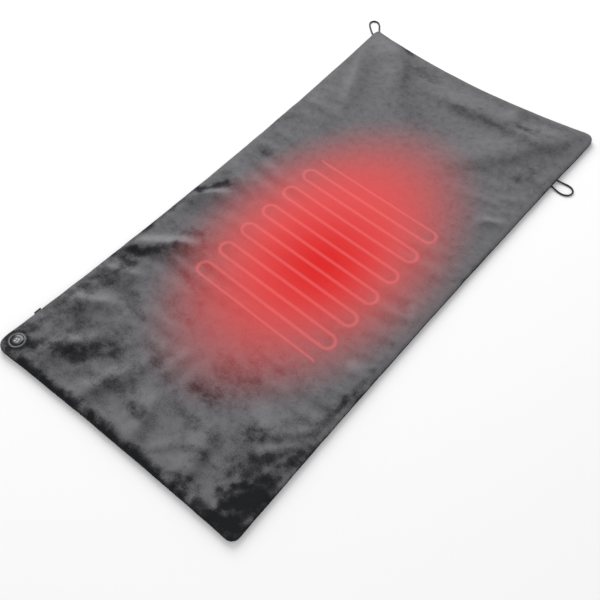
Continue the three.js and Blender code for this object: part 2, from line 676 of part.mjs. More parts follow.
// One of four light windows: a slice of a ring, with equal gaps between the slices.
const WINDOW_COUNT = 4;
function windowSlices(grow, z0, z1) {
  const share = (2 * Math.PI) / WINDOW_COUNT;
  const half = (share - (WINDOW.gapDegrees * Math.PI) / 180) / 2 + grow / WINDOW.outer;
  return Array.from({ length: WINDOW_COUNT }, (_, k) => {
    const middle = (k + 0.5) * share + (WINDOW.turnDegrees * Math.PI) / 180;
    const slice = new THREE.Shape();
    slice.absarc(0, 0, WINDOW.outer + grow, middle - half, middle + half, false);
    slice.absarc(0, 0, WINDOW.inner - grow, middle + half, middle - half, true);
    slice.closePath();
    return new THREE.ExtrudeGeometry(slice, {
      depth: z1 - z0,
      bevelEnabled: false,
      curveSegments: 3,
    }).translate(CONTROLLER_X, CONTROLLER_Y, z0);
  });
}

function buttonCap() {
  const lipInnerR = LIP_R - CAP_LIP.width;
  const plateR = CAP_HOLE_R - GAP;
  const cup = turnedHere(
    [
      [lipInnerR, LIP_Z],
      [LIP_R, LIP_Z],
      [LIP_R, LIP_TOP],
      [plateR, LIP_TOP],
      [plateR, CAP_TOP - 0.4],
      [plateR - 0.8, CAP_TOP],
      [0, CAP_TOP],
      [0, CAP_UNDERSIDE],
      [lipInnerR, CAP_UNDERSIDE],
      [lipInnerR, LIP_Z],
    ],
    DISC_SIDES,
  );
  const dots = LIGHT_DOT.degrees.map((degrees) =>
    rod(...onAxis(LIGHT_DOT.at, degrees), CAP_UNDERSIDE - 1, CAP_TOP + 1, LIGHT_DOT.r + GAP / 2, 12));
  return cut(cup, [...windowSlices(GAP / 2, CAP_UNDERSIDE - 1, CAP_TOP + 1), ...dots]);
}

function symbolLightGuide() {
  const disc = turnedHere(
    [
      [0, PLUNGER_TOP + GAP],
      [SWITCH.plungerR, PLUNGER_TOP + GAP],
      [SWITCH.plungerR, GUIDE_Z],
      [GUIDE_R, GUIDE_Z],
      [GUIDE_R, GUIDE_TOP],
      [0, GUIDE_TOP],
    ],
    24,
  );
  return join(disc, windowSlices(0, GUIDE_TOP - 0.4, CAP_TOP - 0.1));
}

piece("controller_base", controllerBase(), blackPlastic());
piece("controller_bezel", controllerBezel(), blackPlastic());
piece(
  "light_ring",
  turnedHere(
    ringProfile(
      RING_INNER_R, RING_OUTER_R, FLANGE_TOP + RING.proud - RING.thick, FLANGE_TOP + RING.proud,
    ),
    DISC_SIDES,
  ),
  paint(0x9a9c9e, 0.4),
);
piece("button_cap", buttonCap(), paint(0x08090a, 0.15));
piece("symbol_light_guide", symbolLightGuide(), paint(0xc6c8ca, 0.4));
LIGHT_DOT.degrees.forEach((degrees, i) => {
  const [x, y] = onAxis(LIGHT_DOT.at, degrees);
  const window = rod(x, y, CAP_UNDERSIDE, CAP_TOP - 0.1, LIGHT_DOT.r, 12);
  piece("timer_light_window_" + (i + 1), window, paint(0xc6c8ca, 0.4));
});

function circuitBoard() {
  const disc = rod(CONTROLLER_X, CONTROLLER_Y, BOARD_Z, BOARD_TOP, BOARD_R, DISC_SIDES);
  const holes = screwPlaces.map(([x, y]) =>
    rod(x, y, BOARD_Z - 1, BOARD_TOP + 1, SCREW.r + GAP, 12));
  return cut(disc, holes);
}
piece("circuit_board", circuitBoard(), paint(0x1f5a34, 0.5));

// Parts that stand on the board: [name, distance from the axis, degrees, size X, Y, Z, colour].
const BOARD_PARTS = [
  ["control_chip", 6.4, 205, 4, 3.9, 1.2, 0x151617],
  ["heater_transistor", 6.6, 340, 3, 2.6, 1, 0x151617],
  ["timer_led_1", LIGHT_DOT.at, LIGHT_DOT.degrees[0], 1.6, 0.8, 0.7, 0xf0ead8],
  ["timer_led_2", LIGHT_DOT.at, LIGHT_DOT.degrees[1], 1.6, 0.8, 0.7, 0xf0ead8],
  ["ring_led_1", 6.2, 171, 0.8, 1.6, 0.7, 0xf0ead8],
  ["ring_led_2", 6.2, 9, 0.8, 1.6, 0.7, 0xf0ead8],
];
BOARD_PARTS.forEach(([name, distance, degrees, sizeX, sizeY, sizeZ, color]) => {
  const [x, y] = onAxis(distance, degrees);
  piece(name, block(x, y, BOARD_TOP + GAP, sizeX, sizeY, sizeZ), paint(color, 0.5));
});

function switchBody() {
  const body = block(
    CONTROLLER_X, CONTROLLER_Y, SWITCH_Z, SWITCH.side, SWITCH.side, SWITCH.height,
  );
  const well = rod(
    CONTROLLER_X, CONTROLLER_Y,
    PLUNGER_Z - SWITCH.travel - GAP, SWITCH_TOP + 1,
    SWITCH.plungerR + GAP, 16,
  );
  return cut(body, [well]);
}
piece("switch_body", switchBody(), paint(0x2a2b2d, 0.5));
piece(
  "switch_plunger",
  rod(CONTROLLER_X, CONTROLLER_Y, PLUNGER_Z, PLUNGER_TOP, SWITCH.plungerR, 16),
  paint(0xd8d8d4, 0.5),
);

screwPlaces.forEach(([x, y], i) => {
  const headTop = BASE_Z + SCREW.headThick;
  const profile = [
    [0, BASE_Z + GAP / 2],
    [SCREW.headR, BASE_Z + GAP / 2],
    [SCREW.headR, headTop],
    [SCREW.r, headTop],
    [SCREW.r, BOSS_TOP - 1],
    [0, BOSS_TOP - 1],
  ];
  piece("controller_screw_" + (i + 1), turned(profile, x, y, 12), paint(0x9a9da1, 0.35, 1));
});

const leadHoles = [[LEAD_SPACING / 2, LEAD], [-LEAD_SPACING / 2, LEAD]];
piece("heater_lead_grommet", grommet(leadHoles, false), paint(0x1b1c1e, 0.7));
piece("supply_cable_grommet", grommet([[0, SUPPLY_CABLE]], true), paint(0x1b1c1e, 0.7));

// ---------------------------------------------------------------- supply socket
// A box in the socket's own directions: depth from its face, width along Y, height about its axis.
const socketBox = (from, to, width, height) =>
  box(
    SOCKET_FACE + from, SOCKET_FACE + to,
    SOCKET_Y - width / 2, SOCKET_Y + width / 2,
    WIRE_Z - height / 2, WIRE_Z + height / 2,
  );

function socketHousing() {
  const flange = socketBox(
    -SOCKET.flangeThick, 0, SOCKET.width + SOCKET.flangeGrow, SOCKET.height + SOCKET.flangeGrow,
  );
  const body = socketBox(-SOCKET.flangeThick, SOCKET.deep, SOCKET.width, SOCKET.height);
  const mouth = socketBox(
    -SOCKET.flangeThick - 1, SHELL.deep + GAP, SHELL.width + 2 * GAP, SHELL.height + 2 * GAP,
  );
  return cut(join(flange, [body]), [mouth]);
}

function socketShell() {
  const outside = socketBox(-SOCKET.flangeThick, SHELL.deep, SHELL.width, SHELL.height);
  const inside = socketBox(
    -SOCKET.flangeThick - 1, SHELL.deep + 1,
    SHELL.width - 2 * SHELL.wall, SHELL.height - 2 * SHELL.wall,
  );
  return cut(outside, [inside]);
}

function socketTongue() {
  const innerWidth = SHELL.width - 2 * SHELL.wall - 2 * GAP;
  const innerHeight = SHELL.height - 2 * SHELL.wall - 2 * GAP;
  const back = socketBox(SHELL.deep - TONGUE.block, SHELL.deep, innerWidth, innerHeight);
  const blade = socketBox(
    SHELL.deep - TONGUE.block - TONGUE.long, SHELL.deep - TONGUE.block / 2,
    TONGUE.width, TONGUE.thick,
  );
  return join(back, [blade]);
}

// The cable turns out of the socket's back and along the edge in the room between them.
const SUPPLY_BEND = CONTROLLER_X - SOCKET_BACK - 3 * GAP;

piece("supply_socket_housing", socketHousing(), blackPlastic());
piece("supply_socket_shell", socketShell(), paint(0xb9bcc0, 0.3, 1));
piece("supply_socket_tongue", socketTongue(), blackPlastic());
piece(
  "supply_cable",
  tube(
    routed(
      [
        [CONTROLLER_X, CONTROLLER_Y + BASE_BORE_R - 2 * GAP],
        [CONTROLLER_X, SOCKET_Y],
        [SOCKET_BACK + GAP, SOCKET_Y],
      ],
      SUPPLY_BEND,
    ),
    SUPPLY_CABLE,
    8,
  ),
  paint(0x1b1c1e, 0.5),
);

// ---------------------------------------------------------------- cord loops
const LOOP_SIDES = 8;
const LOOP_STEPS = 16;
function cordLoop(list) {
  const points = new THREE.CatmullRomCurve3(route(list), false, "centripetal");
  return tube(points.getSpacedPoints(LOOP_STEPS), LOOP_CORD, LOOP_SIDES);
}
piece("corner_loop", cordLoop(CORNER_LOOP), paint(0x141416, 0.8));
piece("side_loop", cordLoop(SIDE_LOOP), paint(0x141416, 0.8));

export default throwGroup;
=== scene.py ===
# %% [markdown]
# # A heated plush throw
# The real object is two sheets of short-pile plush sewn round their edge, with two layers of
# wadding, a heating wire on a non-woven carrier and a push-button controller inside. This file
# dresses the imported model: every soft layer becomes cloth, every hard piece gets its finish.
# Everything is in metres, and the throw lies on the floor at z = 0 with +Y along its length.

# %% Load the frame
import math
import bmesh
import bpy
import numpy as np
from mathutils import Matrix, Vector, noise


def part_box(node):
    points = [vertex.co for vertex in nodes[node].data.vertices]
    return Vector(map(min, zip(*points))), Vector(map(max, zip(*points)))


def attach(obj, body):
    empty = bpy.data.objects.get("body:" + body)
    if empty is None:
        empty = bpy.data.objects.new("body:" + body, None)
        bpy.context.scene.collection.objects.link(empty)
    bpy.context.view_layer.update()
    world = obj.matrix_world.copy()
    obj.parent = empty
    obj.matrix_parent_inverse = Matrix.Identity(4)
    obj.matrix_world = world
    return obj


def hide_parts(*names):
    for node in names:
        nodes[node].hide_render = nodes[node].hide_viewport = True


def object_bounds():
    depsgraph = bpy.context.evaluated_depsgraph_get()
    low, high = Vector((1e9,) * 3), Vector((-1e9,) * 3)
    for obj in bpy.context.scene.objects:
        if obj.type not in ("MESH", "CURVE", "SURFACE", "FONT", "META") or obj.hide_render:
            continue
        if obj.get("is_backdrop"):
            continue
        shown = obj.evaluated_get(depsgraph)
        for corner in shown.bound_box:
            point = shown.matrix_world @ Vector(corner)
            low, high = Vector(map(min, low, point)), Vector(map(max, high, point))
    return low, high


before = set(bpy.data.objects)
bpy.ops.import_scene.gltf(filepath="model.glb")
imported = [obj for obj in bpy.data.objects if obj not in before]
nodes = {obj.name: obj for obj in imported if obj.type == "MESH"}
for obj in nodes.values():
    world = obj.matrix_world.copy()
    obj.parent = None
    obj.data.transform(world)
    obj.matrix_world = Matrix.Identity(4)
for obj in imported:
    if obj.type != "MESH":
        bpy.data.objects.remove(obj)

cad_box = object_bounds()
MM = 0.001
print("CAD box", [round(v, 4) for corner in cad_box for v in corner])

# %% [markdown]
# ## Camera
# A slightly long lens, from high above the near right corner, shows the whole throw. The camera
# could be turned by a constraint, but a look-at rotation worked out once is plain to read. It
# leans by about a degree, as a camera held in the hand does.

# %% Camera
CAMERA_AT = Vector((0.5859, -0.7875, 1.1447))
LOOKS_AT = Vector((0.0602, -0.1302, 0.0))
CAMERA_LEAN = math.radians(0.91)
SENSOR_WIDTH = 36  # mm
LENS = 53.1  # mm

camera_data = bpy.data.cameras.new("camera")
camera_data.sensor_width = SENSOR_WIDTH
camera_data.lens = LENS
camera = bpy.data.objects.new("camera", camera_data)
looking = (LOOKS_AT - CAMERA_AT).to_track_quat("-Z", "Y")
lean = Matrix.Rotation(CAMERA_LEAN, 3, "Z").to_quaternion()
camera.matrix_world = Matrix.LocRotScale(CAMERA_AT, looking @ lean, None)
bpy.context.scene.collection.objects.link(camera)
bpy.context.scene.camera = camera
print("camera is", round((LOOKS_AT - CAMERA_AT).length, 3), "m from the throw")

# %% [markdown]
# ## Colours and nodes
# Finishes are chosen as sRGB hex values, as a colour card gives them, and shaders work in linear
# light, so one function turns one into the other. A second small function adds any node with its
# settings and links, which keeps each material a short list from pattern to surface.

# %% Colour and node helpers
def colour(hex_code, share=1.0):
    """An sRGB hex colour as linear RGBA, scaled by a share of its light."""
    channels = [int(hex_code[i:i + 2], 16) / 255 for i in (1, 3, 5)]
    linear = [c / 12.92 if c <= 0.04045 else ((c + 0.055) / 1.055) ** 2.4 for c in channels]
    return (*[c * share for c in linear], 1.0)


def add(tree, kind, inputs=None, **settings):
    """Adds a node. inputs maps a socket's name or number to a value or to another socket."""
    node = tree.nodes.new(kind)
    for name, value in settings.items():
        setattr(node, name, value)
    for socket, value in (inputs or {}).items():
        if isinstance(value, bpy.types.NodeSocket):
            tree.links.new(value, node.inputs[socket])
        else:
            node.inputs[socket].default_value = value
    return node


def new_material(name):
    """An empty material, its node tree, and its Principled shader joined to the output."""
    material = bpy.data.materials.new(name)
    material.use_nodes = True
    tree = material.node_tree
    tree.nodes.clear()
    shader = add(tree, "ShaderNodeBsdfPrincipled")
    add(tree, "ShaderNodeOutputMaterial", {"Surface": shader.outputs["BSDF"]})
    return material, tree, shader


def set_ramp(node, stops):
    """Gives a Color Ramp its stops, as (position, linear RGBA)."""
    ramp = node.color_ramp
    while len(ramp.elements) < len(stops):
        ramp.elements.new(0.5)
    for element, (position, value) in zip(ramp.elements, stops):
        element.position = position
        element.color = value


print("mid grey #808080 is", round(colour("#808080")[0], 3), "in linear light")

# %% [markdown]
# ## Floor and light
# A pale floor and a white surround give the even light of a product shot. One large area lamp on
# the far left is stronger than the one in front, so folds and the rolled edge still show
# a bright and a dark side. The Standard view keeps the red of the warm zone saturated.

# %% Floor, surround and lamps
FLOOR_SIZE = 12.0
SURROUND_STRENGTH = 0.55

floor_mesh = bpy.data.meshes.new("floor")
half_floor = FLOOR_SIZE / 2
floor_mesh.from_pydata(
    [(x, y, 0) for x, y in ((-half_floor, -half_floor), (half_floor, -half_floor),
                            (half_floor, half_floor), (-half_floor, half_floor))],
    [], [(0, 1, 2, 3)])
floor = bpy.data.objects.new("floor", floor_mesh)
floor.location.z = -0.3 * MM  # just under the throw, so the two faces never fight
bpy.context.scene.collection.objects.link(floor)
floor_paint, tree, shader = new_material("matt_white_floor")
floor_grain = add(tree, "ShaderNodeTexNoise", {"Scale": 3.0, "Detail": 3.0})
floor_tint = add(tree, "ShaderNodeValToRGB", {"Fac": floor_grain.outputs["Fac"]})
set_ramp(floor_tint, [(0.3, colour("#f6f6f6")), (0.7, colour("#fbfbfb"))])
tree.links.new(floor_tint.outputs["Color"], shader.inputs["Base Color"])
shader.inputs["Roughness"].default_value = 0.9
shader.inputs["Specular IOR Level"].default_value = 0.1
floor_mesh.materials.append(floor_paint)
floor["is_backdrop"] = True

world = bpy.data.worlds.new("surround")
world.use_nodes = True
world.node_tree.nodes["Background"].inputs["Color"].default_value = (1.0, 1.0, 1.0, 1.0)
world.node_tree.nodes["Background"].inputs["Strength"].default_value = SURROUND_STRENGTH
bpy.context.scene.world = world
bpy.context.scene.view_settings.view_transform = "Standard"

LAMPS = [  # name, place, size in metres, power in watts
    ("window_side_softbox", (-1.9, 1.5, 2.0), 2.2, 80),
    ("front_fill", (1.6, -2.0, 2.4), 2.4, 22),
]
for name, place, size, power in LAMPS:
    lamp_data = bpy.data.lights.new(name, "AREA")
    lamp_data.size = size
    lamp_data.energy = power
    lamp = bpy.data.objects.new(name, lamp_data)
    lamp.location = place
    lamp.rotation_euler = (-Vector(place)).to_track_quat("-Z", "Y").to_euler()
    bpy.context.scene.collection.objects.link(lamp)
print(len(LAMPS), "lamps and a pale floor of", FLOOR_SIZE, "m")

# %% [markdown]
# ## Pieces as plain meshes
# Each finished piece is one mesh whose object stays at the origin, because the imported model's own
# nodes are kept that way and a pattern on Object coordinates must not slide. These helpers make
# the object, give it a body to ride on, and turn a modifier's result into a plain mesh.

# %% Mesh helpers
def make_piece(name, vertices, faces, material, smooth=True):
    """A mesh in one material, linked to the scene with its object at the origin."""
    mesh = bpy.data.meshes.new(name)
    mesh.from_pydata([tuple(v) for v in vertices], [], [tuple(f) for f in faces])
    mesh.materials.append(material)
    mesh.polygons.foreach_set("use_smooth", [smooth] * len(mesh.polygons))
    mesh.update()
    piece = bpy.data.objects.new(name, mesh)
    bpy.context.scene.collection.objects.link(piece)
    return piece


def bake_modifiers(piece):
    """Replaces the piece's mesh by what its modifiers make of it, and removes them."""
    bpy.context.view_layer.update()
    depsgraph = bpy.context.evaluated_depsgraph_get()
    evaluated = piece.evaluated_get(depsgraph)
    baked = bpy.data.meshes.new_from_object(evaluated, depsgraph=depsgraph)
    piece.modifiers.clear()
    old, piece.data = piece.data, baked
    bpy.data.meshes.remove(old)
    baked.name = piece.name


def with_walls(piece, thickness):
    """Gives a sheet its thickness, inwards from the face that shows."""
    solidify = piece.modifiers.new("thickness", "SOLIDIFY")
    solidify.thickness = thickness
    solidify.offset = -1
    solidify.use_even_offset = False
    bake_modifiers(piece)


def settle(piece, body, slot, *replaced):
    """Puts a finished piece on its body and hides the imported parts it replaces; slot is not used."""
    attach(piece, body)
    if replaced:
        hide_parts(*replaced)


def count_triangles(piece):
    return sum(len(p.vertices) - 2 for p in piece.data.polygons)


print("mesh helpers are ready")

# %% [markdown]
# ## Cord loops
# Two loops of braided elastic cord are sewn into the seam, one at the far left corner and one on
# the right long side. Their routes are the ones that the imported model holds. A smooth tube with a
# braid painted on it would be quick, but a braid is a surface of crossing strands, so the tube's
# radius itself rises and falls with two families of strands that wind in opposite directions.

# %% Cord routes and tubes
CORD_D = 3.2 * MM
CORNER_LOOP = [
    (-243.2, 497.2, 4.2), (-246.3, 500.9, 3.9), (-249.6, 505.2, 3.1), (-253.1, 509.9, 2.2),
    (-256.6, 514.9, 1.7), (-260.2, 520.0, 1.6), (-264.3, 524.6, 1.6), (-269.3, 527.7, 1.6),
    (-275.0, 528.0, 1.6), (-279.7, 525.0, 1.6), (-281.7, 519.8, 1.6), (-280.3, 514.0, 1.6),
    (-276.7, 508.9, 1.6), (-272.1, 504.3, 1.6), (-267.2, 499.8, 1.7), (-262.6, 495.4, 2.2),
    (-258.2, 491.6, 3.1), (-254.0, 488.3, 3.9), (-250.2, 485.3, 4.2),
]
SIDE_LOOP = [
    (241.4, 364.6, 4.2), (246.2, 365.3, 3.9), (251.4, 366.4, 3.1), (256.9, 367.6, 2.2),
    (262.5, 368.5, 1.7), (268.3, 368.7, 1.6), (274.0, 367.6, 1.6), (278.9, 364.4, 1.6),
    (281.8, 359.3, 1.6), (281.9, 353.4, 1.6), (279.2, 348.1, 1.6), (274.4, 344.7, 1.6),
    (268.8, 343.3, 1.6), (263.0, 343.4, 1.7), (257.4, 344.2, 2.2), (251.8, 345.3, 3.1),
    (246.6, 346.3, 3.9), (241.8, 346.9, 4.2),
]


def smooth_route(points, spacing):
    """A Catmull-Rom curve through the points, as evenly spaced stations."""
    p = np.array([points[0], *points, points[-1]], float)
    p[0], p[-1] = 2 * p[1] - p[2], 2 * p[-2] - p[-3]
    fine = []
    for i in range(1, len(p) - 2):
        for t in np.linspace(0, 1, 16, endpoint=False):
            a, b, c, d = p[i - 1:i + 3]
            fine.append(0.5 * (2 * b + (c - a) * t + (2 * a - 5 * b + 4 * c - d) * t * t
                               + (3 * b - a - 3 * c + d) * t ** 3))
    fine = np.array([*fine, p[-2]])
    walked = np.concatenate([[0], np.cumsum(np.linalg.norm(np.diff(fine, axis=0), axis=1))])
    stations = np.linspace(0, walked[-1], max(2, int(round(walked[-1] / spacing)) + 1))
    return np.stack([np.interp(stations, walked, fine[:, k]) for k in range(3)], 1)


def sweep(name, route, radius, sides, material):
    """A closed tube round a route. radius is a number, or a function of angle and distance."""
    ahead = np.gradient(route, axis=0)
    ahead /= np.linalg.norm(ahead, axis=1)[:, None]
    across = [np.cross(ahead[0], (0, 0, 1))]
    for direction in ahead[1:]:
        carried = across[-1] - direction * across[-1].dot(direction)
        across.append(carried / np.linalg.norm(carried))
    across = np.array(across)
    across[0] /= np.linalg.norm(across[0])
    over = np.cross(across, ahead)
    walked = np.concatenate([[0], np.cumsum(np.linalg.norm(np.diff(route, axis=0), axis=1))])
    angle = np.arange(sides) * 2 * math.pi / sides
    reach = radius(angle[None, :], walked[:, None]) if callable(radius) else np.full(
        (len(route), sides), radius)
    rings = (route[:, None] + reach[..., None] * (np.cos(angle)[None, :, None] * across[:, None]
                                                  + np.sin(angle)[None, :, None] * over[:, None]))
    vertices = [*rings.reshape(-1, 3), route[0], route[-1]]
    first, last = len(vertices) - 2, len(vertices) - 1
    faces = []
    for i in range(len(route) - 1):
        for k in range(sides):
            j = (k + 1) % sides
            faces.append((i * sides + k, (i + 1) * sides + k, (i + 1) * sides + j, i * sides + j))
    end = (len(route) - 1) * sides
    faces += [(first, k, (k + 1) % sides) for k in range(sides)]
    faces += [(last, end + (k + 1) % sides, end + k) for k in range(sides)]
    piece = make_piece(name, vertices, faces, material)
    outwards(piece)
    return piece, walked[-1]


def outwards(piece):
    """Turns every face of a closed mesh outwards."""
    cage = bmesh.new()
    cage.from_mesh(piece.data)
    bmesh.ops.remove_doubles(cage, verts=cage.verts, dist=1e-7)
    bmesh.ops.recalc_face_normals(cage, faces=cage.faces)
    cage.to_mesh(piece.data)
    cage.free()


print("routes of", len(CORNER_LOOP), "and", len(SIDE_LOOP), "points")

# %% [markdown]
# The cord is black polyester braided over rubber. Its finish is matt thread: a near-black that is
# a little lighter on the crowns of the strands, where they are rubbed, with fine thread grain.

# %% Braided elastic cord
elastic_cord, tree, shader = new_material("braided_polyester_cord")
place = add(tree, "ShaderNodeTexCoord")
thread = add(tree, "ShaderNodeTexNoise", {
    "Vector": place.outputs["Object"], "Scale": 1 / (0.25 * MM), "Detail": 2.0})
strand = add(tree, "ShaderNodeTexNoise", {
    "Vector": place.outputs["Object"], "Scale": 1 / (1.5 * MM), "Detail": 1.0})
mixed = add(tree, "ShaderNodeMath", {0: thread.outputs["Fac"], 1: strand.outputs["Fac"]},
            operation="MULTIPLY")
tint = add(tree, "ShaderNodeValToRGB", {"Fac": mixed.outputs[0]})
set_ramp(tint, [(0.12, colour("#0d0d0f")), (0.5, colour("#2e2e31"))])
tree.links.new(tint.outputs["Color"], shader.inputs["Base Color"])
bump = add(tree, "ShaderNodeBump", {"Strength": 0.4, "Distance": 0.1 * MM,
                                    "Height": thread.outputs["Fac"]})
tree.links.new(bump.outputs["Normal"], shader.inputs["Normal"])
shader.inputs["Roughness"].default_value = 0.85
shader.inputs["Sheen Weight"].default_value = 0.2

STRANDS = 6
BRAID_PITCH = 4.6 * MM  # along the cord, one full wave of a family of strands
CORD_STATION = 0.45 * MM
CORD_SIDES = 20


def braid(angle, walked):
    """The cord's radius: two families of strands, each on top where the other dips."""
    turn = walked * 2 * math.pi / BRAID_PITCH
    right = np.cos(STRANDS / 2 * angle + turn)
    left = np.cos(STRANDS / 2 * angle - turn)
    return CORD_D / 2 * (0.93 + 0.09 * np.maximum(np.abs(right), np.abs(left)))


def cord_loop(name, points, node):
    """One hanging loop, swept along its route and put on the throw in place of its imported node."""
    route = smooth_route(np.array(points) * MM, CORD_STATION)
    piece, length = sweep(name, route, braid, CORD_SIDES, elastic_cord)
    settle(piece, "throw", "elastic_cord", node)
    print(name, "is", round(length * 1000, 1), "mm long,", count_triangles(piece), "triangles")


cord_loop("corner_cord_loop", CORNER_LOOP, "corner_loop")
cord_loop("side_cord_loop", SIDE_LOOP, "side_loop")

# %% [markdown]
# ## Outline of the throw
# The covers are sewn in a rectangle, and the sewing and the wadding draw each side in between its
# corners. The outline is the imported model's own: each side is one quadratic curve that bows
# inwards and each corner is another. A loop can be asked for at any distance in from the edge,
# because every layer under the covers ends a little further in.

# %% Outline
THROW_LOW, THROW_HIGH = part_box("top_cover")
WIDTH = THROW_HIGH.x - THROW_LOW.x
LENGTH = THROW_HIGH.y - THROW_LOW.y
CORNERS = [  # side, end, in from the box along X and along Y, rounding; anticlockwise, in mm
    (1, -1, 0, 1, 16), (1, 1, 2, 0, 22), (-1, 1, 0, 5, 12), (-1, -1, 9, 4, 22),
]
BOWS = [5, 20, 13, 3]  # right, far, left and near side, in mm
LEAST_ROUND = 4
SIDE_STEPS, CORNER_STEPS = 120, 16


def quadratic(a, b, c, steps):
    """Points of the quadratic curve from a to c that is pulled towards b."""
    t = np.linspace(0, 1, steps + 1)[:, None]
    return a * (1 - t) ** 2 + 2 * b * t * (1 - t) + c * t * t


def crossing(a, b, c, d):
    """Where the line through a and b meets the line through c and d."""
    ab, cd = b - a, d - c
    return a + ab * (np.cross(c - a, cd) / np.cross(ab, cd))


def raw_sides(distance):
    """The four sides in mm, anticlockwise from the right one, each from mid-corner to mid-corner."""
    tips = [np.array((side * (WIDTH / MM / 2 - in_x - distance),
                      end * (LENGTH / MM / 2 - in_y - distance)))
            for side, end, in_x, in_y, _ in CORNERS]
    rounds = [max(corner[4] - distance, LEAST_ROUND) for corner in CORNERS]
    edges = []
    for i in range(4):
        j = (i + 1) % 4
        along = (tips[j] - tips[i]) / np.linalg.norm(tips[j] - tips[i])
        start, stop = tips[i] + along * rounds[i], tips[j] - along * rounds[j]
        inward = np.array((-along[1], along[0]))
        edges.append((start, (start + stop) / 2 + inward * 2 * BOWS[i], stop))
    turns = []
    for i in range(4):
        (_, middle, stop), (start, next_middle, _) = edges[i], edges[(i + 1) % 4]
        tip = crossing(middle, stop, next_middle, start)
        turns.append(quadratic(stop, tip, start, CORNER_STEPS))
    half = CORNER_STEPS // 2
    return [np.concatenate([turns[i - 1][half:-1], quadratic(*edges[i], SIDE_STEPS),
                            turns[i][1:half + 1]]) for i in range(4)]


RAW = np.concatenate(raw_sides(0))
RAW_LOW, RAW_HIGH = RAW.min(0), RAW.max(0)
TO_SIZE = np.array((WIDTH, LENGTH)) / (RAW_HIGH - RAW_LOW)


def sides(distance=0.0):
    """The four sides in metres at a distance in from the edge, centred as the throw is."""
    return [(side - (RAW_LOW + RAW_HIGH) / 2) * TO_SIZE for side in raw_sides(distance / MM)]


OUTLINE = np.concatenate([side[:-1] for side in sides()])
print("outline is", np.round(OUTLINE.max(0) - OUTLINE.min(0), 4), "m over its corners")

# %% [markdown]
# ## A cloth grid
# Cloth bends best on quads that run along its threads. Stretching a plain grid between the four
# sides (a Coons patch) gives quads everywhere, and lets the rows crowd together at the rolled edge,
# where the curve is tight. Each point also gets its distance from the edge and its place round it.

# %% Cloth grid
def along_side(side, share):
    """The points at shares of a side's length."""
    walked = np.concatenate([[0], np.cumsum(np.linalg.norm(np.diff(side, axis=0), axis=1))])
    return np.stack([np.interp(share * walked[-1], walked, side[:, k]) for k in range(2)], -1)


def patch(u, v, distance=0.0):
    """Points of the sheet at shares u across and v along it, as an array (v, u, 2)."""
    right, far, left, near = sides(distance)
    bottom, top = along_side(near, u), along_side(far[::-1], u)
    west, east = along_side(left[::-1], v), along_side(right, v)
    uu, vv = u[None, :, None], v[:, None, None]
    ruled = ((1 - vv) * bottom[None] + vv * top[None]
             + (1 - uu) * west[:, None] + uu * east[:, None])
    corners = ((1 - uu) * (1 - vv) * bottom[0] + uu * (1 - vv) * bottom[-1]
               + (1 - uu) * vv * top[0] + uu * vv * top[-1])
    return ruled - corners


def from_edge(points):
    """Each point's distance to the outline, and how far round it the nearest place is."""
    closed = np.concatenate([OUTLINE, OUTLINE[:1]])
    start, step = closed[:-1], np.diff(closed, axis=0)
    lengths = np.linalg.norm(step, axis=1)
    walked = np.concatenate([[0], np.cumsum(lengths)])[:-1]
    flat = points.reshape(-1, 2)
    best, place = np.full(len(flat), 1e9), np.zeros(len(flat))
    for i in range(len(start)):
        t = np.clip((flat - start[i]) @ step[i] / lengths[i] ** 2, 0, 1)
        gap = np.linalg.norm(flat - start[i] - t[:, None] * step[i], axis=1)
        closer = gap < best
        best[closer] = gap[closer]
        place[closer] = (walked[i] + t * lengths[i])[closer]
    return best.reshape(points.shape[:2]), place.reshape(points.shape[:2])


def crowded(size, spacing, edge_rows):
    """Shares from 0 to 1: rows at chosen distances from both ends and even ones between."""
    inner = np.linspace(edge_rows[-1], size - edge_rows[-1],
                        int(round((size - 2 * edge_rows[-1]) / spacing)) + 1)[1:-1]
    rows = np.concatenate([edge_rows, inner, size - np.array(edge_rows)[::-1]])
    return rows / size


EDGE_ROWS = [row * MM for row in (0, 0.5, 1.2, 2.0, 3.4, 5.4, 8.0, 11.0)]
CLOTH_SPACING = 3.5 * MM
U = crowded(WIDTH, CLOTH_SPACING, EDGE_ROWS)
V = crowded(LENGTH, CLOTH_SPACING, EDGE_ROWS)
FLAT = patch(U, V)
EDGE, ROUND_PLACE = from_edge(FLAT)
PERIMETER = np.linalg.norm(np.diff(np.concatenate([OUTLINE, OUTLINE[:1]]), axis=0), axis=1).sum()
print("cloth grid", len(U), "x", len(V), "points, perimeter", round(PERIMETER, 3), "m")

# %% [markdown]
# ## Settling the top cover
# A cover is cut a little larger than what it covers, and the spare cloth stands up in soft folds.
# That is what cloth simulation does well, so a coarse sheet with about one per cent of spare cloth
# is dropped on the wadding with its seam held. Its shape is then read back as a smooth surface by
# blending neighbouring points, which keeps the folds and drops the grid.

# %% Simulate the slack cover
TOP_Z = THROW_HIGH.z
SEAM_Z = 4.0 * MM
ROLL = 16 * MM  # over which the simulated cover rises from its seam


def quarter_round(distance, roll):
    """0 at the edge and 1 past the roll, as a quarter of an ellipse."""
    t = np.clip(distance / roll, 0, 1)
    return np.sqrt(1 - (1 - t) ** 2)


def soft_step(value, low, high):
    """0 below low, 1 above high, and a smooth climb between."""
    t = np.clip((value - low) / (high - low), 0, 1)
    return t * t * (3 - 2 * t)


def grid_faces(rows, columns):
    """The quads of a grid of points, row by row, facing up."""
    index = np.arange(rows * columns).reshape(rows, columns)
    a, b = index[:-1, :-1], index[:-1, 1:]
    c, d = index[1:, 1:], index[1:, :-1]
    return np.stack([a, b, c, d], -1).reshape(-1, 4)


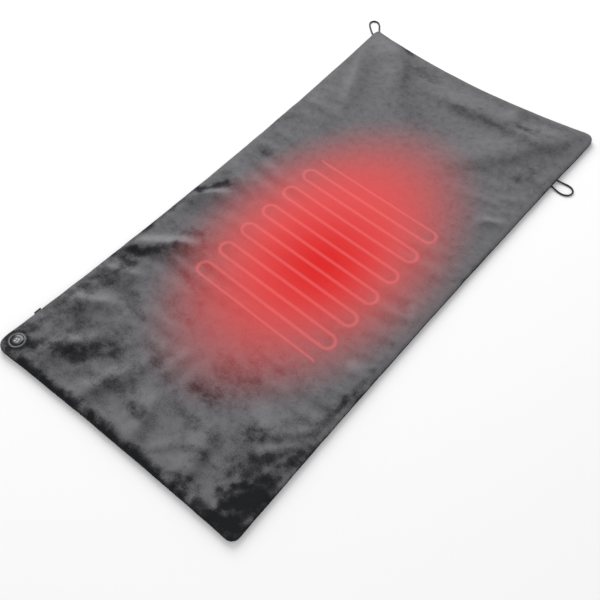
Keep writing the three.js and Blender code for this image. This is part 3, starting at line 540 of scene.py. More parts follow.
SIM_SPACING = 10.0 * MM
SIM_U = np.linspace(0, 1, int(round(WIDTH / SIM_SPACING)) + 1)
SIM_V = np.linspace(0, 1, int(round(LENGTH / SIM_SPACING)) + 1)
SPARE_CLOTH = 0.012  # as a share of the cover's size
SIM_FRAMES = 30
BED_DROP = 1.2 * MM  # from the middle of the cover down to the wadding
FOLD_LIMIT = 7 * MM


def wave(points, size, seed):
    """Smooth noise from -1 to 1 at each point, with features of about that size."""
    flat = points.reshape(-1, points.shape[-1]) / size
    values = [noise.noise(Vector((p[0], p[-1], seed))) for p in flat]
    return np.array(values).reshape(points.shape[:-1])


def wave_round(place, size, seed):
    """The same noise along the outline, at distances round it."""
    return wave(np.stack([place, 0 * place], -1), size, seed)


def spare_cloth_at(points, edge):
    """0 where the cover lies taut and 1 where handling has pushed its spare cloth together."""
    patches = 0.5 + 0.9 * wave(points, 150 * MM, 51.5) + 0.5 * wave(points, 60 * MM, 52.5)
    near_half = soft_step(-points[..., 1], -0.1, 0.25)
    return np.clip(patches * (0.25 + 0.55 * near_half + 0.3 * np.exp(-edge / (60 * MM))), 0, 1)


def slack_cover():
    """How far the slack cover moves from its flat place, on the coarse grid: (v, u, 3)."""
    plan = patch(SIM_U, SIM_V)
    edge, _ = from_edge(plan)
    height = SEAM_Z + (TOP_Z - SEAM_Z) * quarter_round(edge, ROLL)
    start = np.concatenate([plan, height[..., None]], -1)
    faces = grid_faces(len(SIM_V), len(SIM_U))
    plain = bpy.data.materials.new("plain")
    cloth = make_piece("slack_cover", start.reshape(-1, 3), faces, plain)
    bed = make_piece("wadding_bed", start.reshape(-1, 3) - (0, 0, BED_DROP), faces, plain)
    bed.modifiers.new("bed", "COLLISION")
    bed.collision.thickness_outer = 0.4 * MM
    bed.collision.cloth_friction = 12
    pins = cloth.vertex_groups.new(name="seam")
    pins.add([int(i) for i in np.flatnonzero(edge.reshape(-1) < 1 * MM)], 1.0, "REPLACE")
    taut = cloth.vertex_groups.new(name="taut")
    for i, share in enumerate(1 - spare_cloth_at(plan, edge).reshape(-1)):
        taut.add([i], float(share), "REPLACE")
    simulated = cloth.modifiers.new("cloth", "CLOTH")
    plush_cloth = simulated.settings
    plush_cloth.vertex_group_mass = "seam"
    plush_cloth.quality = 6
    plush_cloth.mass = 0.25
    plush_cloth.tension_stiffness = 20
    plush_cloth.compression_stiffness = 20
    plush_cloth.shear_stiffness = 8
    plush_cloth.bending_stiffness = 12
    plush_cloth.air_damping = 2
    plush_cloth.vertex_group_shrink = "taut"
    plush_cloth.shrink_min = -SPARE_CLOTH
    plush_cloth.shrink_max = 0.0
    simulated.collision_settings.distance_min = 0.8 * MM
    simulated.collision_settings.use_self_collision = False
    scene = bpy.context.scene
    for step in range(1, SIM_FRAMES + 1):
        scene.frame_set(step)
    moved = np.empty(len(cloth.data.vertices) * 3)
    shown = cloth.evaluated_get(bpy.context.evaluated_depsgraph_get())
    shown.data.vertices.foreach_get("co", moved)
    scene.frame_set(1)
    for piece in (cloth, bed):
        mesh = piece.data
        bpy.data.objects.remove(piece)
        bpy.data.meshes.remove(mesh)
    bpy.data.materials.remove(plain)
    return moved.reshape(start.shape) - start


def spline_weights(coarse, fine):
    """Cubic B-spline weights that carry values at even coarse shares to fine shares."""
    place = fine * (len(coarse) - 1)
    cell = np.minimum(place.astype(int), len(coarse) - 2)
    t = place - cell
    weights = np.zeros((len(fine), len(coarse)))
    basis = [(1 - t) ** 3 / 6, (3 * t ** 3 - 6 * t ** 2 + 4) / 6,
             (-3 * t ** 3 + 3 * t ** 2 + 3 * t + 1) / 6, t ** 3 / 6]
    for offset, share in zip((-1, 0, 1, 2), basis):
        column = np.clip(cell + offset, 0, len(coarse) - 1)
        np.add.at(weights, (np.arange(len(fine)), column), share)
    return weights


SLACK = slack_cover()
to_v, to_u = spline_weights(SIM_V, V), spline_weights(SIM_U, U)
SLACK_FINE = np.einsum("vi,ijk,uj->vuk", to_v, SLACK, to_u)
print("slack cover rises up to", round(float(SLACK[..., 2].max()) * 1000, 2), "mm, falls to",
      round(float(SLACK[..., 2].min()) * 1000, 2), "mm")

# %% [markdown]
# ## Folds that the throw was laid down with
# Besides the fine slack there are a few long folds: tension lines that run in from the pulled
# corners, a hollow along the far end, and short creases near the controller's end and along the
# sides, where the throw was handled. Each is a ridge along a line, steep on one side and gentle on
# the other, that wanders a little. They could be sculpted, but a list of ridges is easy to move and
# to read.

# %% Long folds
FOLDS = [  # from x, y to x, y; half width on its left and on its right; height; all in mm
    (-240, 486, -30, 318, 34, 20, 4.6),
    (-200, 494, -92, 372, 16, 26, 3.2),
    (-238, 440, -150, 250, 24, 14, 2.6),
    (240, 496, 60, 240, 26, 40, 3.2),
    (-110, 482, 228, 486, 16, 13, 4.0),
    (222, 418, -80, 408, 18, 34, 3.6),
    (-236, 262, -130, 190, 18, 12, 2.4),
    (-238, 20, -140, -26, 10, 24, 3.2),
    (-240, -100, -170, -40, 10, 24, 4.0),
    (-242, -236, -120, -146, 12, 26, 5.0),
    (-240, -300, -150, -262, 11, 18, 3.2),
    (-228, -372, -140, -330, 11, 20, 3.2),
    (-176, -474, -112, -380, 14, 20, 3.8),
    (-80, -490, -40, -390, 16, 18, 3.0),
    (40, -490, 16, -400, 18, 14, 2.8),
    (140, -492, 112, -390, 20, 14, 3.0),
    (246, -388, 140, -326, 18, 22, 3.4),
    (246, -200, 200, -176, 13, 10, 2.2),
    (248, -60, 208, -26, 10, 14, 2.2),
    (245, 215, 184, 186, 13, 10, 2.0),
    (100, 494, 112, 430, 16, 16, 1.8),
]


def folds_at(points):
    """The height of all the long folds together."""
    wander = 6 * wave(points, 110 * MM, 4.5) + 1.5 * wave(points, 30 * MM, 8.5)
    height = np.zeros(points.shape[:2])
    for x0, y0, x1, y1, left, right, high in FOLDS:
        along = np.array((x1 - x0, y1 - y0), float)
        length = np.linalg.norm(along)
        away = points / MM - (x0, y0)
        share = away @ along / length ** 2
        aside = (along[0] * away[..., 1] - along[1] * away[..., 0]) / length + wander
        ends = soft_step(share, -0.15, 0.3) * (1 - soft_step(share, 0.6, 1.12))
        width = np.where(aside > 0, left, right)
        height += high * ends * np.exp(-(aside / width) ** 2)
    return height * MM


CONTROLLER_LOW, CONTROLLER_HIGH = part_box("controller_bezel")
CONTROLLER = np.array([(CONTROLLER_LOW[k] + CONTROLLER_HIGH[k]) / 2 for k in (0, 1)])
FLANGE_R = (CONTROLLER_HIGH.x - CONTROLLER_LOW.x) / 2
NECK_HOLE_R = FLANGE_R - 1.8 * MM
PUCKER = 0.7 * MM
PUCKER_REACH = 26 * MM


def puckers(edge, place):
    """Small gathers that the sewing leaves, across the edge, fading inwards."""
    gather = wave_round(place, 26 * MM, 2.5) + 0.5 * wave_round(place, 13 * MM, 6.5)
    return PUCKER * np.maximum(gather, -0.2) * np.exp(-((edge - 9 * MM) / PUCKER_REACH) ** 2)


def relief(points, edge, place, slack):
    """How far the top of the throw stands above its plain height."""
    loose = np.clip(slack, 0, FOLD_LIMIT)
    from_axis = np.linalg.norm(points - CONTROLLER, axis=-1)
    clamped = soft_step(from_axis, 17 * MM, 40 * MM)
    piled_up = 1.2 * MM * np.exp(-((from_axis - FLANGE_R - 3.5 * MM) / (3 * MM)) ** 2)
    lifted = folds_at(points) + loose + puckers(edge, place)
    return lifted * soft_step(edge, 0, 20 * MM) * clamped + piled_up


# The lowest third of the slack cover is taken to lie on its wadding. What rises above is a fold.
SLACK_RISE = SLACK_FINE[..., 2] - np.percentile(SLACK_FINE[..., 2], 30)
RELIEF = relief(FLAT, EDGE, ROUND_PLACE, SLACK_RISE)
print("folds stand up to", round(float(RELIEF.max()) * 1000, 1), "mm")

# %% [markdown]
# ## The edge
# The covers are sewn face to face and turned out, so at the seam each one curls in to a lip and
# the line between the two lips is sunk. The same list of steps shapes both covers: how far a row
# of the cloth ends up from the edge, and what share of its rise it has made there.

# %% Edge section
EDGE_CURL = [  # distance along the cloth from the seam in mm, distance from the edge in mm, rise
    (0, 1.5, 0.02), (0.5, 0.5, 0.09), (1.2, 0.0, 0.24), (2.0, 0.25, 0.44), (3.4, 1.2, 0.70),
    (5.4, 3.4, 0.90), (8.0, 7.0, 0.985), (11.0, 10.6, 1.0), (14.0, 14.0, 1.0), (20.0, 20.0, 1.0),
]
CURL_AT, CURL_IN, CURL_RISE = (np.array(column) for column in zip(*EDGE_CURL))
CURL_REACH = CURL_AT[-1] * MM
SOCKET_LOW, SOCKET_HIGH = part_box("supply_socket_housing")
SOCKET_MIDDLE = np.array((SOCKET_LOW.x, (SOCKET_LOW.y + SOCKET_HIGH.y) / 2))


def inward_at(place):
    """The direction that points into the throw, at places round the outline."""
    closed = np.concatenate([OUTLINE, OUTLINE[:1]])
    step = np.diff(closed, axis=0)
    lengths = np.linalg.norm(step, axis=1)
    middle = np.cumsum(lengths) - lengths / 2
    normal = np.stack([-step[:, 1], step[:, 0]], -1) / lengths[:, None]
    found = np.stack([np.interp(place, middle, normal[:, k], period=PERIMETER)
                      for k in range(2)], -1)
    return found / np.linalg.norm(found, axis=-1, keepdims=True)


def away_from_socket(points):
    """0 at the socket, where the edge is held straight, and 1 well away from it."""
    return soft_step(np.linalg.norm(points - SOCKET_MIDDLE, axis=-1), 16 * MM, 40 * MM)


def curled(points, edge, place):
    """Plan points with the rows near the seam moved to their place in the curl, and their rise."""
    uneven = 0.7 * away_from_socket(points) * np.maximum(wave_round(place, 24 * MM, 9.5), -0.1)
    inset = np.interp(edge / MM, CURL_AT, CURL_IN) + uneven * (1 - soft_step(edge, 0, CURL_REACH))
    near_edge = (edge < CURL_REACH)[..., None]
    moved = points + inward_at(place) * (inset * MM - edge)[..., None] * near_edge
    return moved, np.interp(edge / MM, CURL_AT, CURL_RISE)


def seam_height(points, place):
    """The seam wanders a millimetre up and down, as a hand-fed seam does."""
    return SEAM_Z + 1.1 * MM * away_from_socket(points) * wave_round(place, 38 * MM, 1.5)


print("edge curls in over", round(CURL_REACH * 1000), "mm of cloth")

# %% [markdown]
# ## Which way the pile lies, with painted light and shade
# Plush looks light where its pile leans towards the eye and almost black where a hand or a fold
# has pushed it the other way. This is laid down as one number per point of the cloth, so it stays
# with the cloth: 1 is pile brushed flat and light, 0 is pile turned away. Part of it is the lie of
# the pile and part is painted light and shade. It comes from four causes: the slope of the cloth,
# which paints light and shade; patches of turned pile with ragged edges, which along the edges and
# in creases stand for painted shade; the press of the seam and of the controller's flange, painted
# as shade in the seam and a shadow round the flange; and fine unevenness.

# %% Lie of the pile, with painted light and shade
# Dark patches: turned pile, which along the edges and in creases and wrinkles is also painted shade.
TURNED_PILE_AND_SHADE_PATCHES = [  # x, y, half length, half width in mm, turn in degrees, how dark from 0 to 1
    (226, -446, 56, 30, 90, 0.95), (206, -494, 56, 14, 4, 0.85), (198, -404, 40, 20, 60, 0.5),
    (70, -497, 150, 10, 0, 0.85), (-110, -496, 106, 10, 0, 0.85), (134, -480, 22, 13, 20, 0.5),
    (165, -364, 26, 16, 60, 0.42), (172, -402, 28, 16, 80, 0.3), (241, -340, 60, 6, 90, 0.5),
    (-192, -222, 62, 10, 44, 0.54), (-212, -58, 40, 10, 52, 0.6), (-152, -146, 24, 14, 40, 0.26),
    (-232, -160, 80, 11, 90, 0.5), (-195, -268, 30, 10, 80, 0.32), (-200, -324, 26, 9, 70, 0.22),
    (-116, -420, 40, 12, 70, 0.26), (-92, -398, 30, 10, 60, 0.26), (-190, -458, 20, 14, 20, 0.42),
    (-160, -444, 26, 14, 30, 0.5), (-72, -442, 28, 12, 10, 0.3), (14, -442, 28, 11, -10, 0.4),
    (-219, -340, 34, 11, 90, 0.32), (-222, -444, 18, 9, 60, 0.42), (110, -440, 28, 12, 0, 0.2),
    (204, 340, 34, 12, 72, 0.2), (238, 358, 40, 8, 90, 0.14), (-92, 440, 30, 14, 0, 0.26),
    (-156, 480, 22, 9, -12, 0.42), (-196, 78, 24, 13, 60, 0.24), (78, 406, 80, 15, 3, 0.2),
    (136, 430, 30, 11, 10, 0.34), (170, 440, 24, 11, 0, 0.2), (236, -232, 60, 8, 90, 0.4),
    (74, -358, 36, 16, 10, 0.26), (80, -402, 56, 14, 0, 0.24), (30, -400, 30, 14, -20, 0.12),
    (196, -330, 44, 14, 80, 0.14), (-40, -440, 40, 12, 20, 0.24), (242, 120, 60, 6, 90, 0.24),
    (135, -406, 44, 13, 0, 0.2), (231, -292, 60, 13, 90, 0.3), (-60, -290, 50, 12, 30, 0.06),
    (-225, 180, 40, 9, 80, 0.16),
]
PLAIN_LIE = 0.78
RAGGED = 8  # how far a patch's edge strays, in mm


def clouds(points, largest, octaves, seed):
    """Noise in several sizes, each half as large and two thirds as strong as the one before."""
    total = np.zeros(points.shape[:2])
    for octave in range(octaves):
        total += 0.68 ** octave * wave(points, largest / 2 ** octave, seed + octave)
    return total


def lit_slope(points, height):
    """How far the cloth leans to the light (up to 0.2) or away from it (down to -0.2): used for painted
    light and shade.
    """
    down_y = np.gradient(height, axis=0) / np.maximum(np.gradient(points[..., 1], axis=0), 1e-5)
    down_x = np.gradient(height, axis=1) / np.maximum(np.gradient(points[..., 0], axis=1), 1e-5)
    steep = 0.85 * down_x - 0.55 * down_y
    return 0.2 * np.tanh(steep / 0.2) * soft_step(EDGE, 4 * MM, 26 * MM)


def pile_lie_and_painted_light(points, height):
    """PLAIN_LIE in the open cloth, 1 where it is brushed to the light, 0 where turned away, with
    painted shade in the patches and round the flange and painted light and shade from the slope.
    """
    x, y = points[..., 0] / MM, points[..., 1] / MM
    ragged = RAGGED * clouds(points, 36 * MM, 4, 11.5)
    crumbs = clouds(points, 14 * MM, 2, 14.5)
    # turned gathers the darkness: turned pile, with painted shade along the edges, in creases and round
    # the flange.
    turned = np.zeros(x.shape)
    for cx, cy, long, short, turn, dark in TURNED_PILE_AND_SHADE_PATCHES:
        cos, sin = math.cos(math.radians(turn)), math.sin(math.radians(turn))
        along, aside = (x - cx) * cos + (y - cy) * sin, (y - cy) * cos - (x - cx) * sin
        reach = np.sqrt(((along + ragged) / long) ** 2 + ((aside + 0.8 * ragged) / short) ** 2)
        fade = np.exp(-0.9 * np.maximum(reach + 0.4 * crumbs, 0) ** 2.4)
        turned = np.maximum(turned, dark * fade)
    # Painted shadow of the controller's flange: a dark ring just outside it, where the pile is also
    # pressed down.
    past_flange_shadow = np.linalg.norm(points - CONTROLLER, axis=-1) - FLANGE_R - 2 * MM
    turned = np.maximum(turned, 0.6 * np.exp(-(past_flange_shadow / (3 * MM)) ** 2))
    handled = soft_step(-y, -60, 330)
    streaks = points * (0.55, 1.0) + points[..., ::-1] * (0.35, 0.0)
    mottle = clouds(streaks, 62 * MM, 5, 21.5)
    turned += 0.2 * handled * soft_step(mottle, -0.2, 0.8) + 0.05 * soft_step(mottle, 0.0, 0.9)
    # The slope towards the lamp adds painted light and shade.
    return np.clip(PLAIN_LIE - turned + 0.7 * lit_slope(points, height) + 0.04 * crumbs, 0, 1)


def seam_painted_shade_and_highlight(points, edge):
    """Painted shade in the seam, where the pile is squeezed, and a painted highlight beside it on the
    right, where the pile is raised.
    """
    on_right = soft_step(points[..., 0], 60 * MM, 200 * MM)
    painted_highlight = 0.16 * np.exp(-((edge - 5.4 * MM) / (3 * MM)) ** 2) * on_right
    return painted_highlight - 0.6 * np.exp(-(edge / (1.7 * MM)) ** 2)


# Folds and slack without the gathers of the edge, which are too small for their slope to paint light
# and shade.
BROAD = folds_at(FLAT) + np.clip(SLACK_RISE, 0, FOLD_LIMIT)
LIE_AND_PAINTED_LIGHT = np.clip(pile_lie_and_painted_light(FLAT, BROAD) + seam_painted_shade_and_highlight(FLAT, EDGE), 0, 1)
# Painted light and shade: the colour is made lighter where the cloth leans to the lamp and darker where
# it leans away.
PAINTED_SLOPE_LIGHT = lit_slope(FLAT, BROAD)
print("mean lie of the pile", round(float(LIE_AND_PAINTED_LIGHT.mean()), 2))

# %% [markdown]
# ## Plush
# The cover is polyester plush with a cut pile about 2 mm long, brushed in one direction: matt,
# with a soft sheen at a glancing angle. Its colour follows the lie of the pile, with the painted
# light and shade that the lie carries, is scaled by a painted light on the cloth's slope, and is
# broken up by tuft grain. Over the heater a glow is painted into the colour: a warm red that is
# deepest in the middle, crossed by the paler painted line of the wire. Both are worked out from
# the cloth's flat coordinates, so they stay in place on every fold. The wire's line is a distance:
# to the nearest straight run, or past the end of the runs to the half circle of a turn.

# %% Plush finish
WIRE_LOW, WIRE_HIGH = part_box("heating_wire")
HEATER_X = (WIRE_LOW.x + WIRE_HIGH.x) / 2
HEATER_LEAN = 0.047  # how much a run drops along Y for each unit along +X
HEATER_PITCH = 27.4 * MM
HEATER_RUNS = 13
HEATER_Y = -42.5 * MM
RUN_HALF = (WIRE_HIGH.x - WIRE_LOW.x) / 2 - HEATER_PITCH / 2
# The red glow and the pale line over the wire are painted into the cloth's colour; nothing there gives
# light.
PAINTED_LINE_HALF = 2.8 * MM  # half the width of the pale line over the wire
GLOW_MIDDLE = (24 * MM, -28 * MM, 0)
GLOW_REACH = (148 * MM, 243 * MM, 1)
GLOW_CORE_MIDDLE = (46 * MM, -58 * MM, 0)
GLOW_CORE_REACH = (120 * MM, 150 * MM, 1)
TUFT = 2.2 * MM
PAINTED_SLOPE_LIGHT_STRENGTH = 2.2
MOST_PAINTED_GLOW = 0.96
PAINTED_LINE_COVER = 0.4


def wire_distance(tree, x, y):
    """The distance from the heating wire's centre line, from flat coordinates x and y."""
    first_run = HEATER_Y + (HEATER_RUNS - 1) / 2 * HEATER_PITCH
    half_pitch = HEATER_PITCH / 2
    sums = [  # what it is, the operation, and its terms
        ("side", "SUBTRACT", "x", HEATER_X),
        ("leaned", "MULTIPLY_ADD", "side", HEATER_LEAN, "y"),
        ("down", "SUBTRACT", first_run, "leaned"),
        ("to_run", "PINGPONG", "down", half_pitch),
        ("off_middle", "ABSOLUTE", "side"),
        ("past_end", "SUBTRACT", "off_middle", RUN_HALF),
        # The turns on the right start half a pitch down, those on the left a pitch and a half.
        ("on_left", "LESS_THAN", "side", 0.0),
        ("to_turn", "MULTIPLY_ADD", "on_left", HEATER_PITCH, half_pitch),
        ("past_turn", "SUBTRACT", "down", "to_turn"),
        ("from_turn", "PINGPONG", "past_turn", HEATER_PITCH),
        ("across_squared", "POWER", "past_end", 2.0),
        ("along_squared", "POWER", "from_turn", 2.0),
        ("squares", "ADD", "across_squared", "along_squared"),
        ("reach", "SQRT", "squares"),
        ("off_bend", "SUBTRACT", "reach", half_pitch),
        ("to_bend", "ABSOLUTE", "off_bend"),
        ("beyond", "GREATER_THAN", "past_end", 0.0),
        ("near_end", "MULTIPLY", "beyond", "to_bend"),
        ("before", "SUBTRACT", 1.0, "beyond"),
        ("near_run", "MULTIPLY", "before", "to_run"),
        # Above the first run and below the last there is no wire.
        ("up", "MULTIPLY", "down", -1.0),
        ("below", "SUBTRACT", "down", (HEATER_RUNS - 1) * HEATER_PITCH),
        ("past_runs", "MAXIMUM", "up", "below"),
        ("outside", "MAXIMUM", "past_runs", 0.0),
        ("near_wire", "ADD", "near_end", "near_run"),
        ("distance", "ADD", "near_wire", "outside"),
    ]
    found = {"x": x, "y": y}
    for name, operation, *terms in sums:
        inputs = {number: found.get(term, term) for number, term in enumerate(terms)}
        found[name] = add(tree, "ShaderNodeMath", inputs, operation=operation).outputs[0]
    return found["distance"]


def plush(name, tones, with_painted_glow):
    """Plush in five tones, from pile turned away to pile brushed to the light, with painted light and
    shade in the same ramp.
    """
    material, tree, shader = new_material(name)
    lie_with_painted_light = add(tree, "ShaderNodeAttribute", attribute_name="lie_with_painted_light").outputs["Fac"]
    flat = add(tree, "ShaderNodeAttribute", attribute_name="flat").outputs["Vector"]
    tufts = add(tree, "ShaderNodeTexNoise", {
        "Vector": flat, "Scale": 1 / TUFT, "Detail": 3.0, "Roughness": 0.65})
    clumps = add(tree, "ShaderNodeTexNoise", {
        "Vector": flat, "Scale": 1 / (6 * TUFT), "Detail": 5.0, "Roughness": 0.7})
    fine = add(tree, "ShaderNodeMath", {0: tufts.outputs["Fac"], 1: 0.7, 2: -0.35},
               operation="MULTIPLY_ADD")
    coarse = add(tree, "ShaderNodeMath", {0: clumps.outputs["Fac"], 1: 0.8, 2: -0.4},
                 operation="MULTIPLY_ADD")
    grain = add(tree, "ShaderNodeMath", {0: fine.outputs[0], 1: coarse.outputs[0]},
                operation="ADD").outputs[0]
    tone = add(tree, "ShaderNodeMath", {0: lie_with_painted_light, 1: grain}, operation="ADD")
    # The ramp turns the lie, with its painted light and shade, into colour.
    cloth = add(tree, "ShaderNodeValToRGB", {"Fac": tone.outputs[0]})
    set_ramp(cloth, list(zip((0.1, 0.34, 0.54, 0.74, 1.0), tones)))
    # Painted light and shade: the colour is scaled by the cloth's slope towards the lamp.
    slope_light_paint = add(tree, "ShaderNodeAttribute", attribute_name="slope_light_paint").outputs["Fac"]
    painted_light_gain = add(tree, "ShaderNodeMath", {0: slope_light_paint, 1: PAINTED_SLOPE_LIGHT_STRENGTH, 2: 1.0},
               operation="MULTIPLY_ADD")
    cloth_with_painted_light = add(tree, "ShaderNodeVectorMath", {
        0: cloth.outputs["Color"], "Scale": painted_light_gain.outputs[0]}, operation="SCALE")
    base = cloth_with_painted_light.outputs[0]
    # A glow painted over the heater.
    if with_painted_glow:
        base = painted_glow_zone(tree, flat, base)
    tree.links.new(base, shader.inputs["Base Color"])
    bump = add(tree, "ShaderNodeBump", {"Strength": 0.7, "Distance": 0.8 * MM, "Height": grain})
    tree.links.new(bump.outputs["Normal"], shader.inputs["Normal"])
    shader.inputs["Roughness"].default_value = 0.95
    shader.inputs["Specular IOR Level"].default_value = 0.04
    shader.inputs["Sheen Weight"].default_value = 0.03
    shader.inputs["Sheen Roughness"].default_value = 0.5
    return material


def painted_glow_zone(tree, flat, cloth):
    """The cloth's colour with a painted red glow and the wire's painted paler line over it."""
    def closeness(middle, reach, inner, outer):
        """1 in the middle of an ellipse, 0 outside it; inner and outer are shares of its reach."""
        away = add(tree, "ShaderNodeVectorMath", {0: flat, 1: middle}, operation="SUBTRACT")
        share = add(tree, "ShaderNodeVectorMath", {0: away.outputs[0], 1: reach},
                    operation="DIVIDE")
        length = add(tree, "ShaderNodeVectorMath", {0: share.outputs[0]}, operation="LENGTH")
        return add(tree, "ShaderNodeMapRange", {
            "Value": length.outputs["Value"], "From Min": outer, "From Max": inner,
            "To Min": 0.0, "To Max": 1.0}, interpolation_type="SMOOTHSTEP").outputs["Result"]

    # Painted glow: red mixed into the cloth's colour over the heater, deepest in the middle; cover is
    # its share.
    painted_glow_mask = closeness(GLOW_MIDDLE, GLOW_REACH, 0.46, 1.56)
    glow_core = closeness(GLOW_CORE_MIDDLE, GLOW_CORE_REACH, 0.0, 1.2)
    glow_red = add(tree, "ShaderNodeMix", {"Factor": glow_core, 6: colour("#dc5050"), 7: colour("#da2525")},
              data_type="RGBA")
    cover = add(tree, "ShaderNodeMath", {0: painted_glow_mask, 1: MOST_PAINTED_GLOW}, operation="MULTIPLY")
    glowing_cloth = add(tree, "ShaderNodeMix", {"Factor": cover.outputs[0], 6: cloth, 7: glow_red.outputs[2]},
                 data_type="RGBA")
    x_y = add(tree, "ShaderNodeSeparateXYZ", {"Vector": flat})
    distance = wire_distance(tree, x_y.outputs["X"], x_y.outputs["Y"])
    # The paler painted line of the wire over the painted glow.
    line = add(tree, "ShaderNodeMapRange", {
        "Value": distance, "From Min": 1.6 * PAINTED_LINE_HALF, "From Max": 0.4 * PAINTED_LINE_HALF,
        "To Min": 0.0, "To Max": PAINTED_LINE_COVER}, interpolation_type="SMOOTHSTEP")
    glow_and_wire_line = add(tree, "ShaderNodeMix", {"Factor": line.outputs["Result"], 6: glowing_cloth.outputs[2],
                                        7: colour("#ee7272")}, data_type="RGBA")
    return glow_and_wire_line.outputs[2]


# Tones from dark to light for the lie with its painted light and shade; the back's are the top's made
# darker, painted shade for the underside.
TOP_LIE_AND_SHADE_TONES = [colour(tone) for tone in ("#1f2022", "#37373a", "#545457", "#676669", "#717174")]
BACK_SHADED_TONES = [colour(tone) for tone in ("#1a1a1c", "#29292c", "#3a3a3d", "#4a4a4d", "#58585b")]
plush_top = plush("brushed_polyester_plush", TOP_LIE_AND_SHADE_TONES, with_painted_glow=True)
plush_back = plush("polyester_plush_back", BACK_SHADED_TONES, with_painted_glow=False)
print("plush finishes:", plush_top.name, plush_back.name)

# %% [markdown]
# ## Top cover
# The finished cover is the cloth grid raised to its height, curled at the edge, with a round hole
# for the controller and a slot for the socket. Cells inside the hole are left out and the ring of
# points round it is pulled to a true circle, hidden under the controller's flange.

# %% Top cover
def cloth_sheet(name, points, faces_kept, flat, lie_with_painted_light, material, slope_light_paint=None):
    """A cloth piece from a grid of points, with its flat coordinates, the lie of its pile with its
    painted light and shade, and any painted slope light.
    """
    rows, columns = points.shape[:2]
    faces = grid_faces(rows, columns)[faces_kept.reshape(-1)]
    used = np.unique(faces)
    renumber = np.full(rows * columns, -1)
    renumber[used] = np.arange(len(used))
    piece = make_piece(name, points.reshape(-1, 3)[used], renumber[faces], material)
    flat_xy = np.concatenate([flat.reshape(-1, 2)[used], np.zeros((len(used), 1))], 1)
    piece.data.attributes.new("flat", "FLOAT_VECTOR", "POINT").data.foreach_set(
        "vector", flat_xy.astype(np.float32).reshape(-1))
    for attribute, values in (("lie_with_painted_light", lie_with_painted_light), ("slope_light_paint", 0 * lie_with_painted_light if slope_light_paint is None else slope_light_paint)):
        piece.data.attributes.new(attribute, "FLOAT", "POINT").data.foreach_set(
            "value", values.reshape(-1)[used].astype(np.float32))
    uv = piece.data.uv_layers.new(name="UVMap")
    corners = np.empty(len(piece.data.loops), np.int32)
    piece.data.loops.foreach_get("vertex_index", corners)
    uv.data.foreach_set("uv", flat_xy[corners, :2].astype(np.float32).reshape(-1))
    return piece


def cell_middles(points):
    """The middle of each cell of a grid."""
    return (points[:-1, :-1] + points[1:, :-1] + points[:-1, 1:] + points[1:, 1:]) / 4


def round_hole(points, flat, kept, radius):
    """Leaves out the cells inside a circle about the controller and pulls their rim to it."""
    from_axis = np.linalg.norm(flat - CONTROLLER, axis=-1)
    inside = from_axis < radius
    cell_cut = inside[:-1, :-1] | inside[1:, :-1] | inside[:-1, 1:] | inside[1:, 1:]
    rim = np.zeros(from_axis.shape, bool)
    for rows in (slice(None, -1), slice(1, None)):
        for columns in (slice(None, -1), slice(1, None)):
            rim[rows, columns] |= cell_cut
    rim &= ~inside
    outwards_from_axis = (points[rim][:, :2] - CONTROLLER) / from_axis[rim][:, None]
    points[rim, :2] = CONTROLLER + outwards_from_axis * radius
    kept &= ~cell_cut


COVER_THICK = 1.8 * MM
SLOT_DEPTH = 3.3 * MM  # of the cut in the edge that the socket looks out of
moved, rise = curled(FLAT, EDGE, ROUND_PLACE)
seam = seam_height(FLAT, ROUND_PLACE)
tufty = 0.16 * MM * wave(FLAT, 7 * MM, 31.5) * soft_step(EDGE, 0, 6 * MM)
top_height = seam + (TOP_Z - seam) * rise + RELIEF + tufty
TOP_POINTS = np.concatenate([moved, top_height[..., None]], -1)
kept = np.ones((len(V) - 1, len(U) - 1), bool)
round_hole(TOP_POINTS, FLAT, kept, NECK_HOLE_R)
middles = cell_middles(FLAT)
in_slot = np.abs(middles[..., 1] - SOCKET_MIDDLE[1]) < (SOCKET_HIGH.y - SOCKET_LOW.y) / 2
in_slot &= (middles[..., 0] < 0) & (cell_middles(EDGE) < SLOT_DEPTH)
kept &= ~in_slot
top_cover = cloth_sheet("plush_top_cover", TOP_POINTS, kept, FLAT, LIE_AND_PAINTED_LIGHT, plush_top, PAINTED_SLOPE_LIGHT)
with_walls(top_cover, COVER_THICK)
settle(top_cover, "throw", "plush_top", "top_cover")
print("top cover has", count_triangles(top_cover), "triangles")

# %% [markdown]
# ## Back cover
# The back lies flat on the floor and only curls up to meet the top at the seam. It is the same
# kind of sheet, seen from below, so its cells are turned over to face down.

# %% Back cover
BACK_SPACING = 6 * MM
back_u = crowded(WIDTH, BACK_SPACING, EDGE_ROWS)
back_v = crowded(LENGTH, BACK_SPACING, EDGE_ROWS)
back_flat = patch(back_u, back_v)
back_edge, back_place = from_edge(back_flat)
moved, rise = curled(back_flat, back_edge, back_place)
lifted = np.maximum(wave(back_flat, 45 * MM, 41.5), 0) * soft_step(back_edge, 6 * MM, 30 * MM)
back_height = seam_height(back_flat, back_place) * (1 - rise) + 0.5 * MM * lifted
back_points = np.concatenate([moved, back_height[..., None]], -1)
back_lie_and_seam_shade = 0.6 + 0.5 * wave(back_flat, 80 * MM, 43.5) + 0.3 * wave(back_flat, 22 * MM, 44.5)
# The seam adds painted shade, and on the right a painted highlight, to the back's lie.
back_lie_and_seam_shade = np.clip(back_lie_and_seam_shade + seam_painted_shade_and_highlight(back_flat, back_edge), 0, 1)
all_cells = np.ones((len(back_v) - 1, len(back_u) - 1), bool)
back_cover = cloth_sheet("plush_back_cover", back_points[:, ::-1], all_cells, back_flat[:, ::-1],
                         back_lie_and_seam_shade[:, ::-1], plush_back)
with_walls(back_cover, COVER_THICK)
settle(back_cover, "throw", "plush_back", "back_cover")
print("back cover has", count_triangles(back_cover), "triangles")

